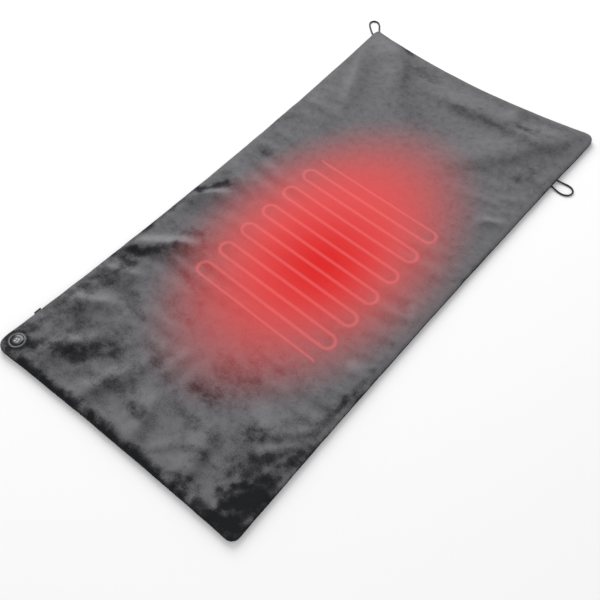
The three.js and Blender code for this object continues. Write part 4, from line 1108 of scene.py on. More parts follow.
# %% [markdown]
# ## Threads by Geometry Nodes
# A stitch repeats along a line hundreds of times, which is what Geometry Nodes are for. The tree
# walks a line at even steps and sets one small arch of thread at each, lying along the line or
# turned across it. Its sizes are named inputs, so the same tree sews the seam and ties the heating
# wire to its carrier.

# %% Stitch tree
def stitch_tree():
    """Geometry Nodes that set a row of thread arches along every line they are given."""
    tree = bpy.data.node_groups.new("row_of_stitches", "GeometryNodeTree")
    sizes = [("Spacing", 4 * MM), ("Stitch Length", 3 * MM), ("Arch", 1 * MM),
             ("Thread Radius", 0.2 * MM), ("Turn", 0.0)]
    tree.interface.new_socket("Geometry", in_out="INPUT", socket_type="NodeSocketGeometry")
    for name, value in sizes:
        tree.interface.new_socket(name, in_out="INPUT",
                                  socket_type="NodeSocketFloat").default_value = value
    tree.interface.new_socket("Thread", in_out="INPUT", socket_type="NodeSocketMaterial")
    tree.interface.new_socket("Geometry", in_out="OUTPUT", socket_type="NodeSocketGeometry")
    given = add(tree, "NodeGroupInput").outputs
    line = add(tree, "GeometryNodeMeshToCurve", {"Mesh": given["Geometry"]})
    steps = add(tree, "GeometryNodeResampleCurve", {
        "Curve": line.outputs["Curve"], "Length": given["Spacing"]}, mode="LENGTH")
    half = add(tree, "ShaderNodeMath", {0: given["Stitch Length"], 1: 0.5}, operation="MULTIPLY")
    back = add(tree, "ShaderNodeMath", {0: half.outputs[0], 1: -1.0}, operation="MULTIPLY")
    start = add(tree, "ShaderNodeCombineXYZ", {"X": back.outputs[0]})
    top = add(tree, "ShaderNodeCombineXYZ", {"Z": given["Arch"]})
    end = add(tree, "ShaderNodeCombineXYZ", {"X": half.outputs[0]})
    arch = add(tree, "GeometryNodeCurveQuadraticBezier", {
        "Resolution": 6, "Start": start.outputs[0], "Middle": top.outputs[0], "End": end.outputs[0]})
    ring = add(tree, "GeometryNodeCurvePrimitiveCircle", {
        "Resolution": 5, "Radius": given["Thread Radius"]})
    thread = add(tree, "GeometryNodeCurveToMesh", {
        "Curve": arch.outputs[0], "Profile Curve": ring.outputs[0], "Fill Caps": True})
    turn = add(tree, "ShaderNodeCombineXYZ", {"Z": given["Turn"]})
    turned = add(tree, "GeometryNodeTransform", {
        "Geometry": thread.outputs[0], "Rotation": turn.outputs[0]})
    ahead = add(tree, "GeometryNodeInputTangent")
    facing = add(tree, "FunctionNodeAlignRotationToVector", {
        "Vector": ahead.outputs[0]}, axis="X", pivot_axis="Z")
    set_out = add(tree, "GeometryNodeInstanceOnPoints", {
        "Points": steps.outputs["Curve"], "Instance": turned.outputs[0], "Rotation": facing.outputs[0]})
    real = add(tree, "GeometryNodeRealizeInstances", {0: set_out.outputs[0]})
    dyed = add(tree, "GeometryNodeSetMaterial", {
        "Geometry": real.outputs[0], "Material": given["Thread"]})
    add(tree, "NodeGroupOutput", {"Geometry": dyed.outputs[0]})
    return tree


STITCHES = stitch_tree()


def set_inputs(modifier, tree, values):
    """Sets a Geometry Nodes modifier's inputs, found by name and set by identifier."""
    for item in tree.interface.items_tree:
        if item.item_type == "SOCKET" and item.in_out == "INPUT" and item.name in values:
            modifier[item.identifier] = values[item.name]


def sew(name, lines, thread, **sizes):
    """A piece of stitches along lines, each an array of places."""
    vertices, edges = [], []
    for line in lines:
        first = len(vertices)
        vertices += [tuple(place) for place in line]
        edges += [(first + i, first + i + 1) for i in range(len(line) - 1)]
    mesh = bpy.data.meshes.new(name)
    mesh.from_pydata(vertices, edges, [])
    piece = bpy.data.objects.new(name, mesh)
    bpy.context.scene.collection.objects.link(piece)
    modifier = piece.modifiers.new("stitches", "NODES")
    modifier.node_group = STITCHES
    set_inputs(modifier, STITCHES, {**sizes, "Thread": thread})
    bake_modifiers(piece)
    piece.data.polygons.foreach_set("use_smooth", [True] * len(piece.data.polygons))
    print(name, "has", count_triangles(piece), "triangles")
    return piece


# %% [markdown]
# ## Finishes of the small parts
# Moulded, printed and drawn parts differ in three things: how their colour wanders, how rough they
# are, and the size of their grain. One function makes a finish from those, because the kinds of
# node are the same each time, and the list under it says what each real finish is.

# %% Finishes
def finish(name, dark, light, roughness, grain, depth, metallic=0.0, ior=1.5, stretch=(1, 1, 1)):
    """A finish whose colour and surface wander between two tones at a grain size in mm."""
    material, tree, shader = new_material(name)
    place = add(tree, "ShaderNodeTexCoord")
    laid = add(tree, "ShaderNodeMapping", {"Vector": place.outputs["Object"], "Scale": stretch})
    grains = add(tree, "ShaderNodeTexNoise", {
        "Vector": laid.outputs[0], "Scale": 1 / (grain * MM), "Detail": 3.0})
    stains = add(tree, "ShaderNodeTexNoise", {
        "Vector": laid.outputs[0], "Scale": 1 / (7 * grain * MM), "Detail": 2.0})
    both = add(tree, "ShaderNodeMath", {0: grains.outputs["Fac"], 1: stains.outputs["Fac"]},
               operation="MULTIPLY")
    tone = add(tree, "ShaderNodeValToRGB", {"Fac": both.outputs[0]})
    set_ramp(tone, [(0.12, colour(dark)), (0.42, colour(light))])
    tree.links.new(tone.outputs["Color"], shader.inputs["Base Color"])
    wear = add(tree, "ShaderNodeMapRange", {"Value": stains.outputs["Fac"], "From Min": 0.3,
                                            "From Max": 0.7, "To Min": roughness * 0.85,
                                            "To Max": min(1.0, roughness * 1.15)})
    tree.links.new(wear.outputs["Result"], shader.inputs["Roughness"])
    bump = add(tree, "ShaderNodeBump", {
        "Strength": 0.6, "Distance": depth * MM, "Height": grains.outputs["Fac"]})
    tree.links.new(bump.outputs["Normal"], shader.inputs["Normal"])
    shader.inputs["Metallic"].default_value = metallic
    if not metallic:
        shader.inputs["IOR"].default_value = ior
    return material


# Black ABS with a fine spark texture from the mould: satin, a little grey where it catches light.
black_abs = finish("spark_textured_black_abs", "#08080a", "#17181a", 0.5, 0.35, 0.03, ior=1.54)
# Polished black ABS of the button: almost a mirror, with the faint unevenness of a moulded face.
polished_abs = finish("polished_black_abs", "#050506", "#0d0d0f", 0.13, 2.5, 0.01, ior=1.54)
# Milky polycarbonate over the lights, unlit: light grey, slightly cloudy, satin.
milky_pc = finish("milky_polycarbonate", "#8c8e91", "#b9bbbe", 0.38, 1.2, 0.01, ior=1.58)
# Smoked polycarbonate of the light ring, unlit: a mid grey, satin.
smoked_pc = finish("smoked_polycarbonate_ring", "#5a5c5f", "#7b7d80", 0.34, 1.4, 0.01, ior=1.58)
# Overlocked plush edge, pressed flat by the sewing: dark, dull and tufted.
pressed_plush = finish("pressed_plush_edge", "#232326", "#4d4d52", 0.95, 1.6, 0.4)
# Spun polyester thread: a near match to the plush for the seam, white where it ties the wire.
seam_thread = finish("spun_polyester_thread", "#2b2b2e", "#515156", 0.7, 0.4, 0.05)
pale_thread = finish("white_polyester_thread", "#c9c7c1", "#efeee9", 0.7, 0.4, 0.05)
# Needle-punched polyester wadding: white, matt, with loose fibres that cloud its face.
wadding_felt = finish("needle_punched_polyester_wadding", "#cbc9c4", "#f0efeb", 0.95, 1.3, 0.6)
# Point-bonded polypropylene non-woven: white, faintly shiny where the calender pressed it.
non_woven = finish("point_bonded_polypropylene", "#dcdad4", "#f7f6f3", 0.75, 0.9, 0.12)
# Silicone sheath of the heating wire: dull brick red, slightly sticky looking.
silicone = finish("extruded_silicone_sheath", "#8f3a30", "#bb5346", 0.5, 0.9, 0.03, ior=1.41)
# Extruded PVC of the leads: smooth and satin, with the faint ripple of the die.
red_pvc = finish("extruded_red_pvc", "#8e181b", "#c02a2c", 0.42, 0.8, 0.02, ior=1.53)
black_pvc = finish("extruded_black_pvc", "#141416", "#2b2b2e", 0.45, 0.8, 0.02, ior=1.53)
# Tinned copper crimps, drawn and pressed: warm metal with fine scratches along the barrel.
tinned_copper = finish("tinned_copper", "#a9855a", "#d9b98a", 0.32, 0.3, 0.02, 1.0,
                       stretch=(0.1, 1, 1))
# Heat-shrunk polyolefin over the crimps: black, satin, pulled tight.
shrunk_sleeve = finish("shrunk_polyolefin", "#0e0e10", "#222225", 0.5, 0.9, 0.05)
# Nickel-plated can of the thermal cut-out: pale, with drawing marks.
nickel = finish("nickel_plated_can", "#97999c", "#cfd1d3", 0.28, 0.3, 0.01, 1.0,
                stretch=(0.1, 1, 1))
# Small moulded parts of the board: filled epoxy, white LED body, switch and its plunger.
chip_epoxy = finish("filled_black_epoxy", "#101112", "#202123", 0.6, 0.25, 0.03)
led_body = finish("reflow_white_led_body", "#d9d2b8", "#f3eedb", 0.4, 0.4, 0.01)
switch_pbt = finish("glass_filled_pbt", "#17181a", "#303134", 0.5, 0.3, 0.02)
plunger_pom = finish("natural_acetal", "#c4c3be", "#e6e5e0", 0.4, 0.8, 0.01, ior=1.48)
# Zinc-plated screws: pale blue-grey metal, slightly rough.
zinc_steel = finish("zinc_plated_steel", "#85888c", "#c0c4c8", 0.3, 0.25, 0.01, 1.0)
# Moulded elastomer of the grommets: matt black.
grommet_tpe = finish("soft_black_elastomer", "#151517", "#2d2d30", 0.7, 0.5, 0.03, ior=1.5)
# Stamped stainless steel of the socket's shell, with marks along its length.
stamped_steel = finish("stamped_stainless_steel", "#8d8f92", "#c9ccce", 0.27, 0.25, 0.01, 1.0,
                       stretch=(1, 0.1, 1))
print(len(bpy.data.materials), "materials so far")

# %% [markdown]
# The circuit board is glass-fibre laminate under green solder resist. Copper tracks show through
# as slightly raised, paler lines, and bare pads are tinned. A grid of bricks in two sizes gives
# tracks that run square to each other, as a router lays them.

# %% Circuit board
board_green, tree, shader = new_material("green_solder_resist")
place = add(tree, "ShaderNodeTexCoord")
tracks = add(tree, "ShaderNodeTexBrick", {
    "Vector": place.outputs["Object"], "Scale": 1 / (3.2 * MM), "Mortar Size": 0.05,
    "Mortar Smooth": 0.1, "Brick Width": 1.4, "Row Height": 0.45,
    "Color1": colour("#17502d"), "Color2": colour("#1a5a33"), "Mortar": colour("#3f8a58")})
resist = add(tree, "ShaderNodeTexNoise", {
    "Vector": place.outputs["Object"], "Scale": 1 / (1.5 * MM)})
shade = add(tree, "ShaderNodeMix", {"Factor": resist.outputs["Fac"], 6: tracks.outputs["Color"],
                                    7: colour("#14482a")}, data_type="RGBA")
tree.links.new(shade.outputs[2], shader.inputs["Base Color"])
bump = add(tree, "ShaderNodeBump", {"Strength": 0.4, "Distance": 0.05 * MM,
                                    "Height": tracks.outputs["Fac"]})
tree.links.new(bump.outputs["Normal"], shader.inputs["Normal"])
shader.inputs["Roughness"].default_value = 0.3
print("board finish:", board_green.name)

# %% [markdown]
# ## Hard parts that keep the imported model's shape
# These are small and mostly inside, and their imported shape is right, so they stay and only get
# their finish.

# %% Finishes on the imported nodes
KEPT = {
    "controller_base": black_abs, "circuit_board": board_green, "control_chip": chip_epoxy,
    "heater_transistor": chip_epoxy, "timer_led_1": led_body, "timer_led_2": led_body,
    "ring_led_1": led_body, "ring_led_2": led_body, "switch_body": switch_pbt,
    "switch_plunger": plunger_pom, "controller_screw_1": zinc_steel, "controller_screw_2": zinc_steel,
    "controller_screw_3": zinc_steel, "heater_lead_grommet": grommet_tpe,
    "supply_cable_grommet": grommet_tpe, "supply_socket_housing": black_abs,
    "supply_socket_shell": stamped_steel, "supply_socket_tongue": switch_pbt,
    "feed_crimp": tinned_copper, "return_crimp": tinned_copper, "feed_shrink_sleeve": shrunk_sleeve,
    "return_shrink_sleeve": shrunk_sleeve, "thermal_cutout": nickel,
}
for name, material in KEPT.items():
    mesh = nodes[name].data
    mesh.materials.clear()
    mesh.materials.append(material)
print(len(KEPT), "packed nodes have their finish")

# %% [markdown]
# ## Seam allowance and seam stitches
# Inside the edge, both covers' cut edges lie together in one band, overlocked and sewn through.
# The band follows the outline at a fixed distance. Two rows of stitches are sewn: the lockstitch
# through the band, and the thread that shows deep in the line between the two covers.

# %% Seam allowance
ALLOWANCE_ROWS = np.linspace(2.9, 7.7, 6) * MM
ALLOWANCE_Z = 4.75 * MM
ALLOWANCE_THICK = 1.5 * MM
STATION = 5 * MM
SOCKET_ROOM = 4 * MM


def inset_line(inset, height, uneven=0.0):
    """A closed line round the throw at a distance in from its edge."""
    closed = np.concatenate([OUTLINE, OUTLINE[:1]])
    walked = np.concatenate([[0], np.cumsum(np.linalg.norm(np.diff(closed, axis=0), axis=1))])
    places = np.linspace(0, walked[-1], int(round(walked[-1] / STATION)), endpoint=False)
    on_edge = np.stack([np.interp(places, walked, closed[:, k]) for k in range(2)], -1)
    plan = on_edge + inward_at(places) * inset
    rise = height + uneven * wave_round(places, 20 * MM, 61.5)
    return np.concatenate([plan, np.broadcast_to(rise, places.shape)[:, None]], 1)


def clear_of_socket(middles, spare):
    """True where a place is outside the socket's room in the layers."""
    half_room = (SOCKET_HIGH.y - SOCKET_LOW.y) / 2 + spare
    return ((np.abs(middles[..., 1] - SOCKET_MIDDLE[1]) > half_room)
            | (middles[..., 0] > SOCKET_HIGH.x + spare) | (middles[..., 0] > 0))


rows = np.stack([inset_line(inset, ALLOWANCE_Z, 0.05 * MM) for inset in ALLOWANCE_ROWS])
rows = np.concatenate([rows, rows[:, :1]], 1)
free = clear_of_socket(cell_middles(rows)[..., :2], SOCKET_ROOM)
seam_band = cloth_sheet("overlocked_seam_allowance", rows, free, rows[..., :2],
                        np.zeros(rows.shape[:2]), pressed_plush)
with_walls(seam_band, ALLOWANCE_THICK)
outwards(seam_band)
settle(seam_band, "throw", "seam_fabric", "seam_allowance")

lockstitch_line = inset_line(5.2 * MM, ALLOWANCE_Z + 0.1 * MM)
sunken_line = inset_line(1.75 * MM, SEAM_Z)
lockstitch = sew("seam_lockstitch", [lockstitch_line, sunken_line], seam_thread, **{
    "Spacing": 3.4 * MM, "Stitch Length": 2.8 * MM, "Arch": 0.5 * MM, "Thread Radius": 0.16 * MM})
settle(lockstitch, "throw", "seam_fabric")

# %% [markdown]
# ## Wadding and carrier
# Two layers of needle-punched wadding give the throw its body, one under the heater and one over
# it. Each is a soft sheet that ends short of the seam, with room for the controller and the socket.
# The carrier between them is thin non-woven. All three are grids with a gently uneven face.

# %% Wadding layers
WADDING_INSET = 12 * MM
WADDING_SPACING = 7 * MM
WADDING_THICK = 2 * MM
BASE_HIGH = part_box("controller_base")[1]
BASE_ROOM_R = BASE_HIGH.x - CONTROLLER[0] + 0.8 * MM


def wadding_layer(name, node, seed):
    """One layer of wadding at its packed height, open round the controller and the socket."""
    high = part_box(node)[1]
    u = np.linspace(0, 1, int(round(WIDTH / WADDING_SPACING)) + 1)
    v = np.linspace(0, 1, int(round(LENGTH / WADDING_SPACING)) + 1)
    plan = patch(u, v, WADDING_INSET)
    loft = 0.12 * MM * wave(plan, 30 * MM, seed) + 0.06 * MM * wave(plan, 9 * MM, seed + 1)
    points = np.concatenate([plan, (high.z - 0.1 * MM + loft)[..., None]], -1)
    middles = cell_middles(plan)
    kept = clear_of_socket(middles, SOCKET_ROOM)
    kept &= (middles > CONTROLLER).any(-1)
    round_hole(points, plan, kept, BASE_ROOM_R)
    piece = cloth_sheet(name, points, kept, plan, np.zeros(plan.shape[:2]), wadding_felt)
    with_walls(piece, WADDING_THICK)
    settle(piece, "throw", "wadding", node)
    print(name, "has", count_triangles(piece), "triangles")


wadding_layer("upper_wadding_layer", "upper_wadding", 71.5)
wadding_layer("lower_wadding_layer", "lower_wadding", 75.5)

# %% [markdown]
# The carrier is a rectangle with rounded corners, so its grid is an even one whose corner points are
# drawn in to arcs. That keeps every cell a quad.

# %% Heater carrier
CARRIER_LOW, CARRIER_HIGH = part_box("heater_carrier")
CARRIER_ROUND = 12 * MM
CARRIER_SPACING = 8 * MM
CARRIER_THICK = 0.6 * MM


def rounded_grid(low, high, corner, spacing):
    """An even grid over a rectangle whose corners are drawn in to arcs."""
    size = np.array((high.x - low.x, high.y - low.y))
    x = np.linspace(-1, 1, int(round(size[0] / spacing)) + 1) * size[0] / 2
    y = np.linspace(-1, 1, int(round(size[1] / spacing)) + 1) * size[1] / 2
    grid = np.stack(np.meshgrid(x, y), -1)
    beyond = np.maximum(np.abs(grid) - (size / 2 - corner), 0)
    reach, furthest = np.linalg.norm(beyond, axis=-1), beyond.max(-1)
    drawn = np.where(reach > 0, furthest / np.maximum(reach, 1e-9), 1)[..., None]
    grid = np.sign(grid) * (np.abs(grid) - beyond + beyond * drawn)
    return grid + ((low.x + high.x) / 2, (low.y + high.y) / 2)


carrier_plan = rounded_grid(CARRIER_LOW, CARRIER_HIGH, CARRIER_ROUND, CARRIER_SPACING)
ripple = 0.08 * MM * wave(carrier_plan, 26 * MM, 81.5)
carrier_height = CARRIER_HIGH.z - 0.08 * MM + ripple
carrier_points = np.concatenate([carrier_plan, carrier_height[..., None]], -1)
all_cells = np.ones((len(carrier_plan) - 1, len(carrier_plan[0]) - 1), bool)
carrier = cloth_sheet("non_woven_carrier", carrier_points, all_cells, carrier_plan,
                      np.zeros(carrier_plan.shape[:2]), non_woven)
with_walls(carrier, CARRIER_THICK)
settle(carrier, "throw", "nonwoven", "heater_carrier")
print("carrier has", count_triangles(carrier), "triangles")

# %% [markdown]
# ## Heating wire and leads
# The heating wire has a silicone sheath and is laid in 13 runs with round turns, tied down every few
# millimetres. Its route is worked out from the pitch and the width, as the
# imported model's is. The leads follow straight stretches with rounded bends.

# %% Wire and leads
WIRE_Z = (WIRE_LOW.z + WIRE_HIGH.z) / 2
WIRE_D = WIRE_HIGH.z - WIRE_LOW.z
HEATER_TAIL = 12 * MM
LEAD_D = 1.5 * MM
LEAD_BEND = 6 * MM


def heater_route():
    """The wire's centre line in plan, from its feed end to its return end."""
    first_run = HEATER_Y + (HEATER_RUNS - 1) / 2 * HEATER_PITCH
    points = []
    for run in range(HEATER_RUNS - 1):
        side = -1 if run % 2 else 1
        middle = np.array((HEATER_X + side * RUN_HALF, first_run - (run + 0.5) * HEATER_PITCH))
        for angle in np.linspace(math.pi / 2, math.pi / 2 - side * math.pi, 25):
            points.append(middle + HEATER_PITCH / 2 * np.array((math.cos(angle), math.sin(angle))))
    points = np.array(points)
    points[:, 1] -= HEATER_LEAN * (points[:, 0] - HEATER_X)
    half = (WIRE_HIGH.x - WIRE_LOW.x) / 2
    feed_y = first_run + HEATER_LEAN * half
    return_y = first_run - (HEATER_RUNS - 1) * HEATER_PITCH - HEATER_LEAN * half
    start = [(HEATER_X - half, feed_y), (HEATER_X - half + HEATER_TAIL, feed_y)]
    end = [(HEATER_X + half - HEATER_TAIL, return_y), (HEATER_X + half, return_y)]
    return np.concatenate([start, points, end])


def along(plan, height, spacing):
    """A line through plan points at one height, cut into stretches no longer than the spacing."""
    stations = [plan[0]]
    for a, b in zip(plan[:-1], plan[1:]):
        parts = max(1, int(np.ceil(np.linalg.norm(b - a) / spacing)))
        stations += [a + (b - a) * k / parts for k in range(1, parts + 1)]
    stations = np.array(stations)
    return np.concatenate([stations, np.full((len(stations), 1), height)], 1)


def rounded_bends(corners, bend):
    """Corner points of a lead with each corner turned into an arc."""
    plan = [np.array(corners[0])]
    for before, corner, after in zip(corners[:-2], corners[1:-1], corners[2:]):
        before, corner, after = map(np.array, (before, corner, after))
        back = (before - corner) / np.linalg.norm(before - corner)
        on = (after - corner) / np.linalg.norm(after - corner)
        for angle in np.linspace(0, math.pi / 2, 9):
            plan.append(corner + bend * (back * (1 - math.sin(angle)) + on * (1 - math.cos(angle))))
    plan.append(np.array(corners[-1]))
    return np.array(plan)


def lead(name, node, corners, diameter, bend, material, slot):
    """A lead swept round its corners at the height of the wire."""
    route = along(rounded_bends(corners, bend), WIRE_Z, 6 * MM)
    piece, length = sweep(name, route, diameter / 2, 16, material)
    settle(piece, "throw", slot, node)
    print(name, "is", round(length * 1000), "mm long")


wire_plan = heater_route()
wire, wire_length = sweep("silicone_heating_wire", along(wire_plan, WIRE_Z, 12 * MM), WIRE_D / 2, 14,
                          silicone)
settle(wire, "throw", "heating_wire", "heating_wire")
print("heating wire is", round(wire_length, 2), "m long,", count_triangles(wire), "triangles")
tied_line = along(wire_plan[3:-3], CARRIER_HIGH.z, 6 * MM)
ties = sew("wire_couching_stitches", [tied_line], pale_thread, **{
    "Spacing": 8 * MM, "Stitch Length": 3.6 * MM, "Arch": 6.4 * MM, "Thread Radius": 0.13 * MM,
    "Turn": math.pi / 2})
settle(ties, "throw", "nonwoven")

CX, CY = CONTROLLER
FEED_LOW, FEED_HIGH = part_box("feed_lead")
CUTOUT_LOW, CUTOUT_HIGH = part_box("cutout_lead")
RETURN_LOW, RETURN_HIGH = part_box("return_lead")
CABLE_LOW, CABLE_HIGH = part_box("supply_cable")
half_lead = LEAD_D / 2
FEED_LANE = CX + 26 * MM  # where the feed lead runs along the throw
RETURN_LANE = CX + 29.2 * MM
RETURN_CRIMP_END = 168.6 * MM
CABLE_STRAIGHT = 0.6 * MM  # of the supply cable between its bend and the socket

feed_start, feed_end = FEED_LOW.y + half_lead, FEED_HIGH.y - half_lead
lead("red_feed_lead", "feed_lead", [
    (FEED_LOW.x, feed_start), (FEED_LANE, feed_start), (FEED_LANE, feed_end),
    (FEED_HIGH.x, feed_end)], LEAD_D, LEAD_BEND, red_pvc, "red_insulation")

crimp_y, cutout_y = CUTOUT_HIGH.y - half_lead, CUTOUT_LOW.y + half_lead
cutout_side = CUTOUT_HIGH.x - half_lead
lead("black_cutout_lead", "cutout_lead", [
    (RETURN_CRIMP_END, crimp_y), (cutout_side, crimp_y), (cutout_side, cutout_y),
    (CUTOUT_LOW.x, cutout_y)], LEAD_D, LEAD_BEND, black_pvc, "black_insulation")

return_start, return_end = RETURN_HIGH.y - half_lead, RETURN_LOW.y + half_lead
lead("black_return_lead", "return_lead", [
    (RETURN_HIGH.x, return_start), (RETURN_LANE, return_start), (RETURN_LANE, return_end),
    (RETURN_LOW.x, return_end)], LEAD_D, LEAD_BEND, black_pvc, "black_insulation")

lead("black_supply_cable", "supply_cable", [
    (CX, CABLE_LOW.y), (CX, SOCKET_MIDDLE[1]), (CABLE_LOW.x, SOCKET_MIDDLE[1])],
    CABLE_HIGH.z - CABLE_LOW.z, CX - CABLE_LOW.x - CABLE_STRAIGHT, black_pvc, "black_insulation")

# %% [markdown]
# ## Controller
# The controller is pushed through the top cover: a bezel with a neck from above, a base from
# below, and three screws that clamp the cloth between them. In the bezel sit a smoked ring that
# lights up, and a glossy button with a four-part symbol and two dots that light up through milky
# plastic. All are bodies of revolution with small cuts, so they are turned profiles with the cuts
# made by a Boolean, and a narrow Bevel that catches the light as a moulded edge does.

# %% Turned parts
TURN_STEPS = 128


def turned(name, profile, material, steps=TURN_STEPS):
    """A profile of (radius, height) in mm, closed or ending on the axis, turned about the axis."""
    closed = profile[0][0] > 0
    vertices, rings = [], []
    for r, z in profile:
        first = len(vertices)
        count = steps if r > 0 else 1
        for k in range(count):
            angle = 2 * math.pi * k / steps
            vertices.append((CX + r * MM * math.cos(angle), CY + r * MM * math.sin(angle), z * MM))
        rings.append((first, count))
    faces = []
    for a, b in zip(rings, rings[1:] + (rings[:1] if closed else [])):
        for k in range(steps):
            j = (k + 1) % steps
            loop = [a[0] + k % a[1], a[0] + j % a[1], b[0] + j % b[1], b[0] + k % b[1]]
            loop = list(dict.fromkeys(loop))
            if len(loop) > 2:
                faces.append(loop)
    piece = make_piece(name, vertices, faces, material, smooth=False)
    outwards(piece)
    return piece


def rod(name, radius, degrees, r, z0, z1, material, steps=32):
    """A rod in mm that stands on the controller's axis at a radius and an angle."""
    piece = turned(name, [(0, z0), (r, z0), (r, z1), (0, z1)], material, steps)
    piece.data.transform(Matrix.Translation(Vector((
        radius * MM * math.cos(math.radians(degrees)),
        radius * MM * math.sin(math.radians(degrees)), 0))))
    return piece


SYMBOL_IN, SYMBOL_OUT, SYMBOL_GAP, SYMBOL_TURN = 1.2, 4.3, 26, 17  # mm, mm, degrees, degrees


def slices(name, grow, z0, z1, material):
    """The button's symbol: four slices of a ring with equal gaps, grown by some mm all round."""
    inner, outer = SYMBOL_IN, SYMBOL_OUT
    vertices, faces = [], []
    half = math.radians((90 - SYMBOL_GAP) / 2) + grow / outer
    for k in range(4):
        middle = math.radians((k + 0.5) * 90 + SYMBOL_TURN)
        sweep_out = np.linspace(middle - half, middle + half, 13)
        loop = [(outer + grow, a) for a in sweep_out] + [(inner - grow, a) for a in sweep_out[::-1]]
        first, n = len(vertices), len(loop)
        for z in (z0, z1):
            vertices += [(CX + r * MM * math.cos(a), CY + r * MM * math.sin(a), z * MM)
                         for r, a in loop]
        faces.append([first + i for i in range(n)][::-1])
        faces.append([first + n + i for i in range(n)])
        faces += [(first + i, first + (i + 1) % n, first + n + (i + 1) % n, first + n + i)
                  for i in range(n)]
    return make_piece(name, vertices, faces, material, smooth=False)


def combine(piece, others, operation):
    """Cuts or joins other closed pieces with a piece, and removes them."""
    for other in others:
        modifier = piece.modifiers.new("combine", "BOOLEAN")
        modifier.object = other
        modifier.operation = operation
        modifier.solver = "EXACT"
        bake_modifiers(piece)
        mesh = other.data
        bpy.data.objects.remove(other)
        bpy.data.meshes.remove(mesh)


def soften(piece, width, body, slot, *replaced):
    """Rounds a moulded piece's sharp edges, shades it smooth and settles it."""
    bevel = piece.modifiers.new("moulded_edges", "BEVEL")
    bevel.width = width * MM
    bevel.segments = 3
    bevel.limit_method = "ANGLE"
    bevel.angle_limit = math.radians(28)
    bevel.harden_normals = False
    bake_modifiers(piece)
    piece.data.polygons.foreach_set("use_smooth", [True] * len(piece.data.polygons))
    piece.data.set_sharp_from_angle(angle=math.radians(35))
    print(piece.name, "has", count_triangles(piece), "triangles")
    settle(piece, body, slot, *replaced)


print("turned parts use", TURN_STEPS, "steps a turn")

# %% Bezel, ring and button
CAP_HOLE_R, NECK_BORE_R, NECK_R, RING_IN, RING_OUT = 10.6, 11.2, 12.6, 11.3, 12.9
FLANGE = FLANGE_R / MM
FLANGE_Z, FLANGE_TOP, SHOULDER_Z, NECK_Z, GROOVE_Z = 13.0, 14.6, 12.9, 8.7, 13.4
BOSS_AT, BOSS_R, BOSS_BORE, BOSS_Z, BOSS_TOP = 9.3, 1.75, 0.85, 6.05, 10.7
BOSS_DEGREES = (6, 126, 246)
DOT_AT, DOT_R, DOT_DEGREES = 8.5, 0.7, (102, 150)
CAP_TOP, CAP_UNDERSIDE = CONTROLLER_HIGH.z / MM + 0.3, 13.2
GAP = 0.3

bezel = turned("controller_bezel_moulding", [
    (NECK_BORE_R, NECK_Z), (NECK_R, NECK_Z), (NECK_R, FLANGE_Z), (FLANGE - 0.35, FLANGE_Z),
    (FLANGE, FLANGE_Z + 0.5), (FLANGE - 0.12, FLANGE_TOP - 0.85), (FLANGE - 0.5, FLANGE_TOP - 0.3),
    (FLANGE - 1.2, FLANGE_TOP - 0.03), (FLANGE - 1.5, FLANGE_TOP), (RING_OUT + GAP, FLANGE_TOP),
    (RING_OUT + GAP, GROOVE_Z), (RING_IN - GAP, GROOVE_Z), (RING_IN - GAP, FLANGE_TOP),
    (CAP_HOLE_R, FLANGE_TOP), (CAP_HOLE_R, SHOULDER_Z), (NECK_BORE_R, SHOULDER_Z)], black_abs)
bosses = [rod("boss", BOSS_AT, degrees, BOSS_R, BOSS_Z, BOSS_TOP, black_abs)
          for degrees in BOSS_DEGREES]
for degrees in BOSS_DEGREES:
    direction = Vector((math.cos(math.radians(degrees)), math.sin(math.radians(degrees)), 0))
    across = Vector((-direction.y, direction.x, 0)) * BOSS_R / 2 * MM
    corners = []
    for z in (NECK_Z + 0.02, BOSS_TOP - 0.02):
        for reach in (BOSS_AT, (NECK_BORE_R + NECK_R) / 2):
            middle = Vector((CX, CY, z * MM)) + direction * reach * MM
            corners += [middle - across, middle + across]
    rib = make_piece("rib", corners, [(0, 1, 3, 2), (4, 6, 7, 5), (0, 4, 5, 1), (2, 3, 7, 6),
                                      (0, 2, 6, 4), (1, 5, 7, 3)], black_abs, smooth=False)
    outwards(rib)
    bosses.append(rib)
combine(bezel, bosses, "UNION")
bores = [rod("bore", BOSS_AT, degrees, BOSS_BORE, BOSS_Z - 1, BOSS_TOP - 0.6, black_abs, 24)
         for degrees in BOSS_DEGREES]
combine(bezel, bores, "DIFFERENCE")
soften(bezel, 0.12, "throw", "controller_plastic", "controller_bezel")

RING_Z, RING_TOP = (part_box("light_ring")[k].z / MM for k in (0, 1))
light_ring = turned("light_ring_diffuser", [
    (RING_IN, RING_Z), (RING_OUT, RING_Z), (RING_OUT, RING_TOP - 0.25),
    (RING_OUT - 0.3, RING_TOP - 0.05), (RING_OUT - 0.6, RING_TOP), (RING_IN + 0.6, RING_TOP),
    (RING_IN + 0.3, RING_TOP - 0.05), (RING_IN, RING_TOP - 0.25)], smoked_pc)
soften(light_ring, 0.06, "throw", "ring_diffuser", "light_ring")

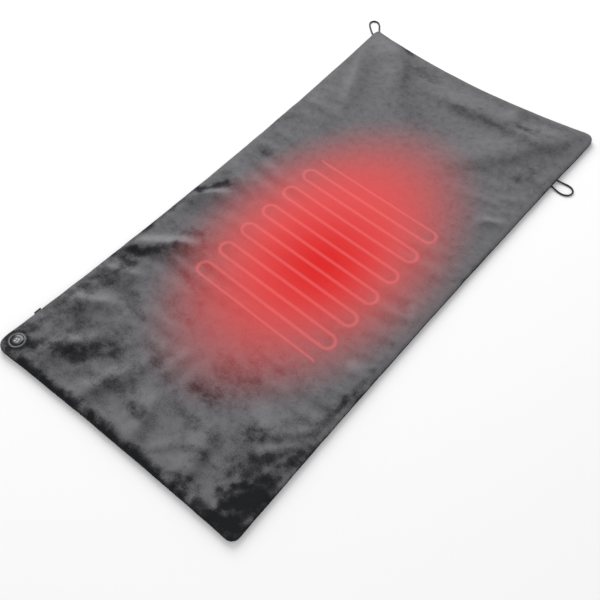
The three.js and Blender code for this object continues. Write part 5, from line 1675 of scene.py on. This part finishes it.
PLATE_R, LIP_R, LIP_IN, LIP_Z, LIP_TOP = CAP_HOLE_R - GAP, 10.9, 9.5, 11.5, 12.6
cap = turned("button_cap_moulding", [
    (0, CAP_UNDERSIDE), (LIP_IN, CAP_UNDERSIDE), (LIP_IN, LIP_Z), (LIP_R, LIP_Z), (LIP_R, LIP_TOP),
    (PLATE_R, LIP_TOP), (PLATE_R, CAP_TOP - 0.45), (PLATE_R - 0.3, CAP_TOP - 0.15),
    (PLATE_R - 0.8, CAP_TOP), (PLATE_R * 0.6, CAP_TOP), (PLATE_R * 0.3, CAP_TOP), (0, CAP_TOP)],
    polished_abs)
cut_from, cut_to = CAP_UNDERSIDE - 1, CAP_TOP + 1
cutters = [slices("symbol", GAP / 2, cut_from, cut_to, polished_abs)]
cutters += [rod("dot", DOT_AT, degrees, DOT_R + GAP / 2, cut_from, cut_to, polished_abs, 24)
            for degrees in DOT_DEGREES]
combine(cap, cutters, "DIFFERENCE")
soften(cap, 0.08, "button", "button_gloss", "button_cap")

PLUNGER_R, GUIDE_R, GUIDE_Z, GUIDE_TOP, SYMBOL_Z = 1.7, 5.6, 12.1, 12.9, 12.5
guide_low, guide_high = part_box("symbol_light_guide")
guide = turned("symbol_light_guide_moulding", [
    (0, guide_low.z / MM), (PLUNGER_R, guide_low.z / MM), (PLUNGER_R, GUIDE_Z), (GUIDE_R, GUIDE_Z),
    (GUIDE_R, GUIDE_TOP), (0, GUIDE_TOP)], milky_pc, 96)
combine(guide, [slices("symbol", 0, SYMBOL_Z, guide_high.z / MM, milky_pc)], "UNION")
soften(guide, 0.1, "button", "light_diffuser", "symbol_light_guide")
for number, degrees in enumerate(DOT_DEGREES, 1):
    node = "timer_light_window_" + str(number)
    low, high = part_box(node)
    dot = rod("timer_dot_diffuser_" + str(number), DOT_AT, degrees, DOT_R, low.z / MM, high.z / MM,
              milky_pc)
    soften(dot, 0.08, "button", "light_diffuser", node)

# %% [markdown]
# ## The end
# Last, the sizes of the imported model and of the dressed one are gathered side by side in one
# dictionary.

# %% Sizes and the end
size = {"cad": [list(corner) for corner in cad_box],
        "visual": [list(corner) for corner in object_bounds()]}
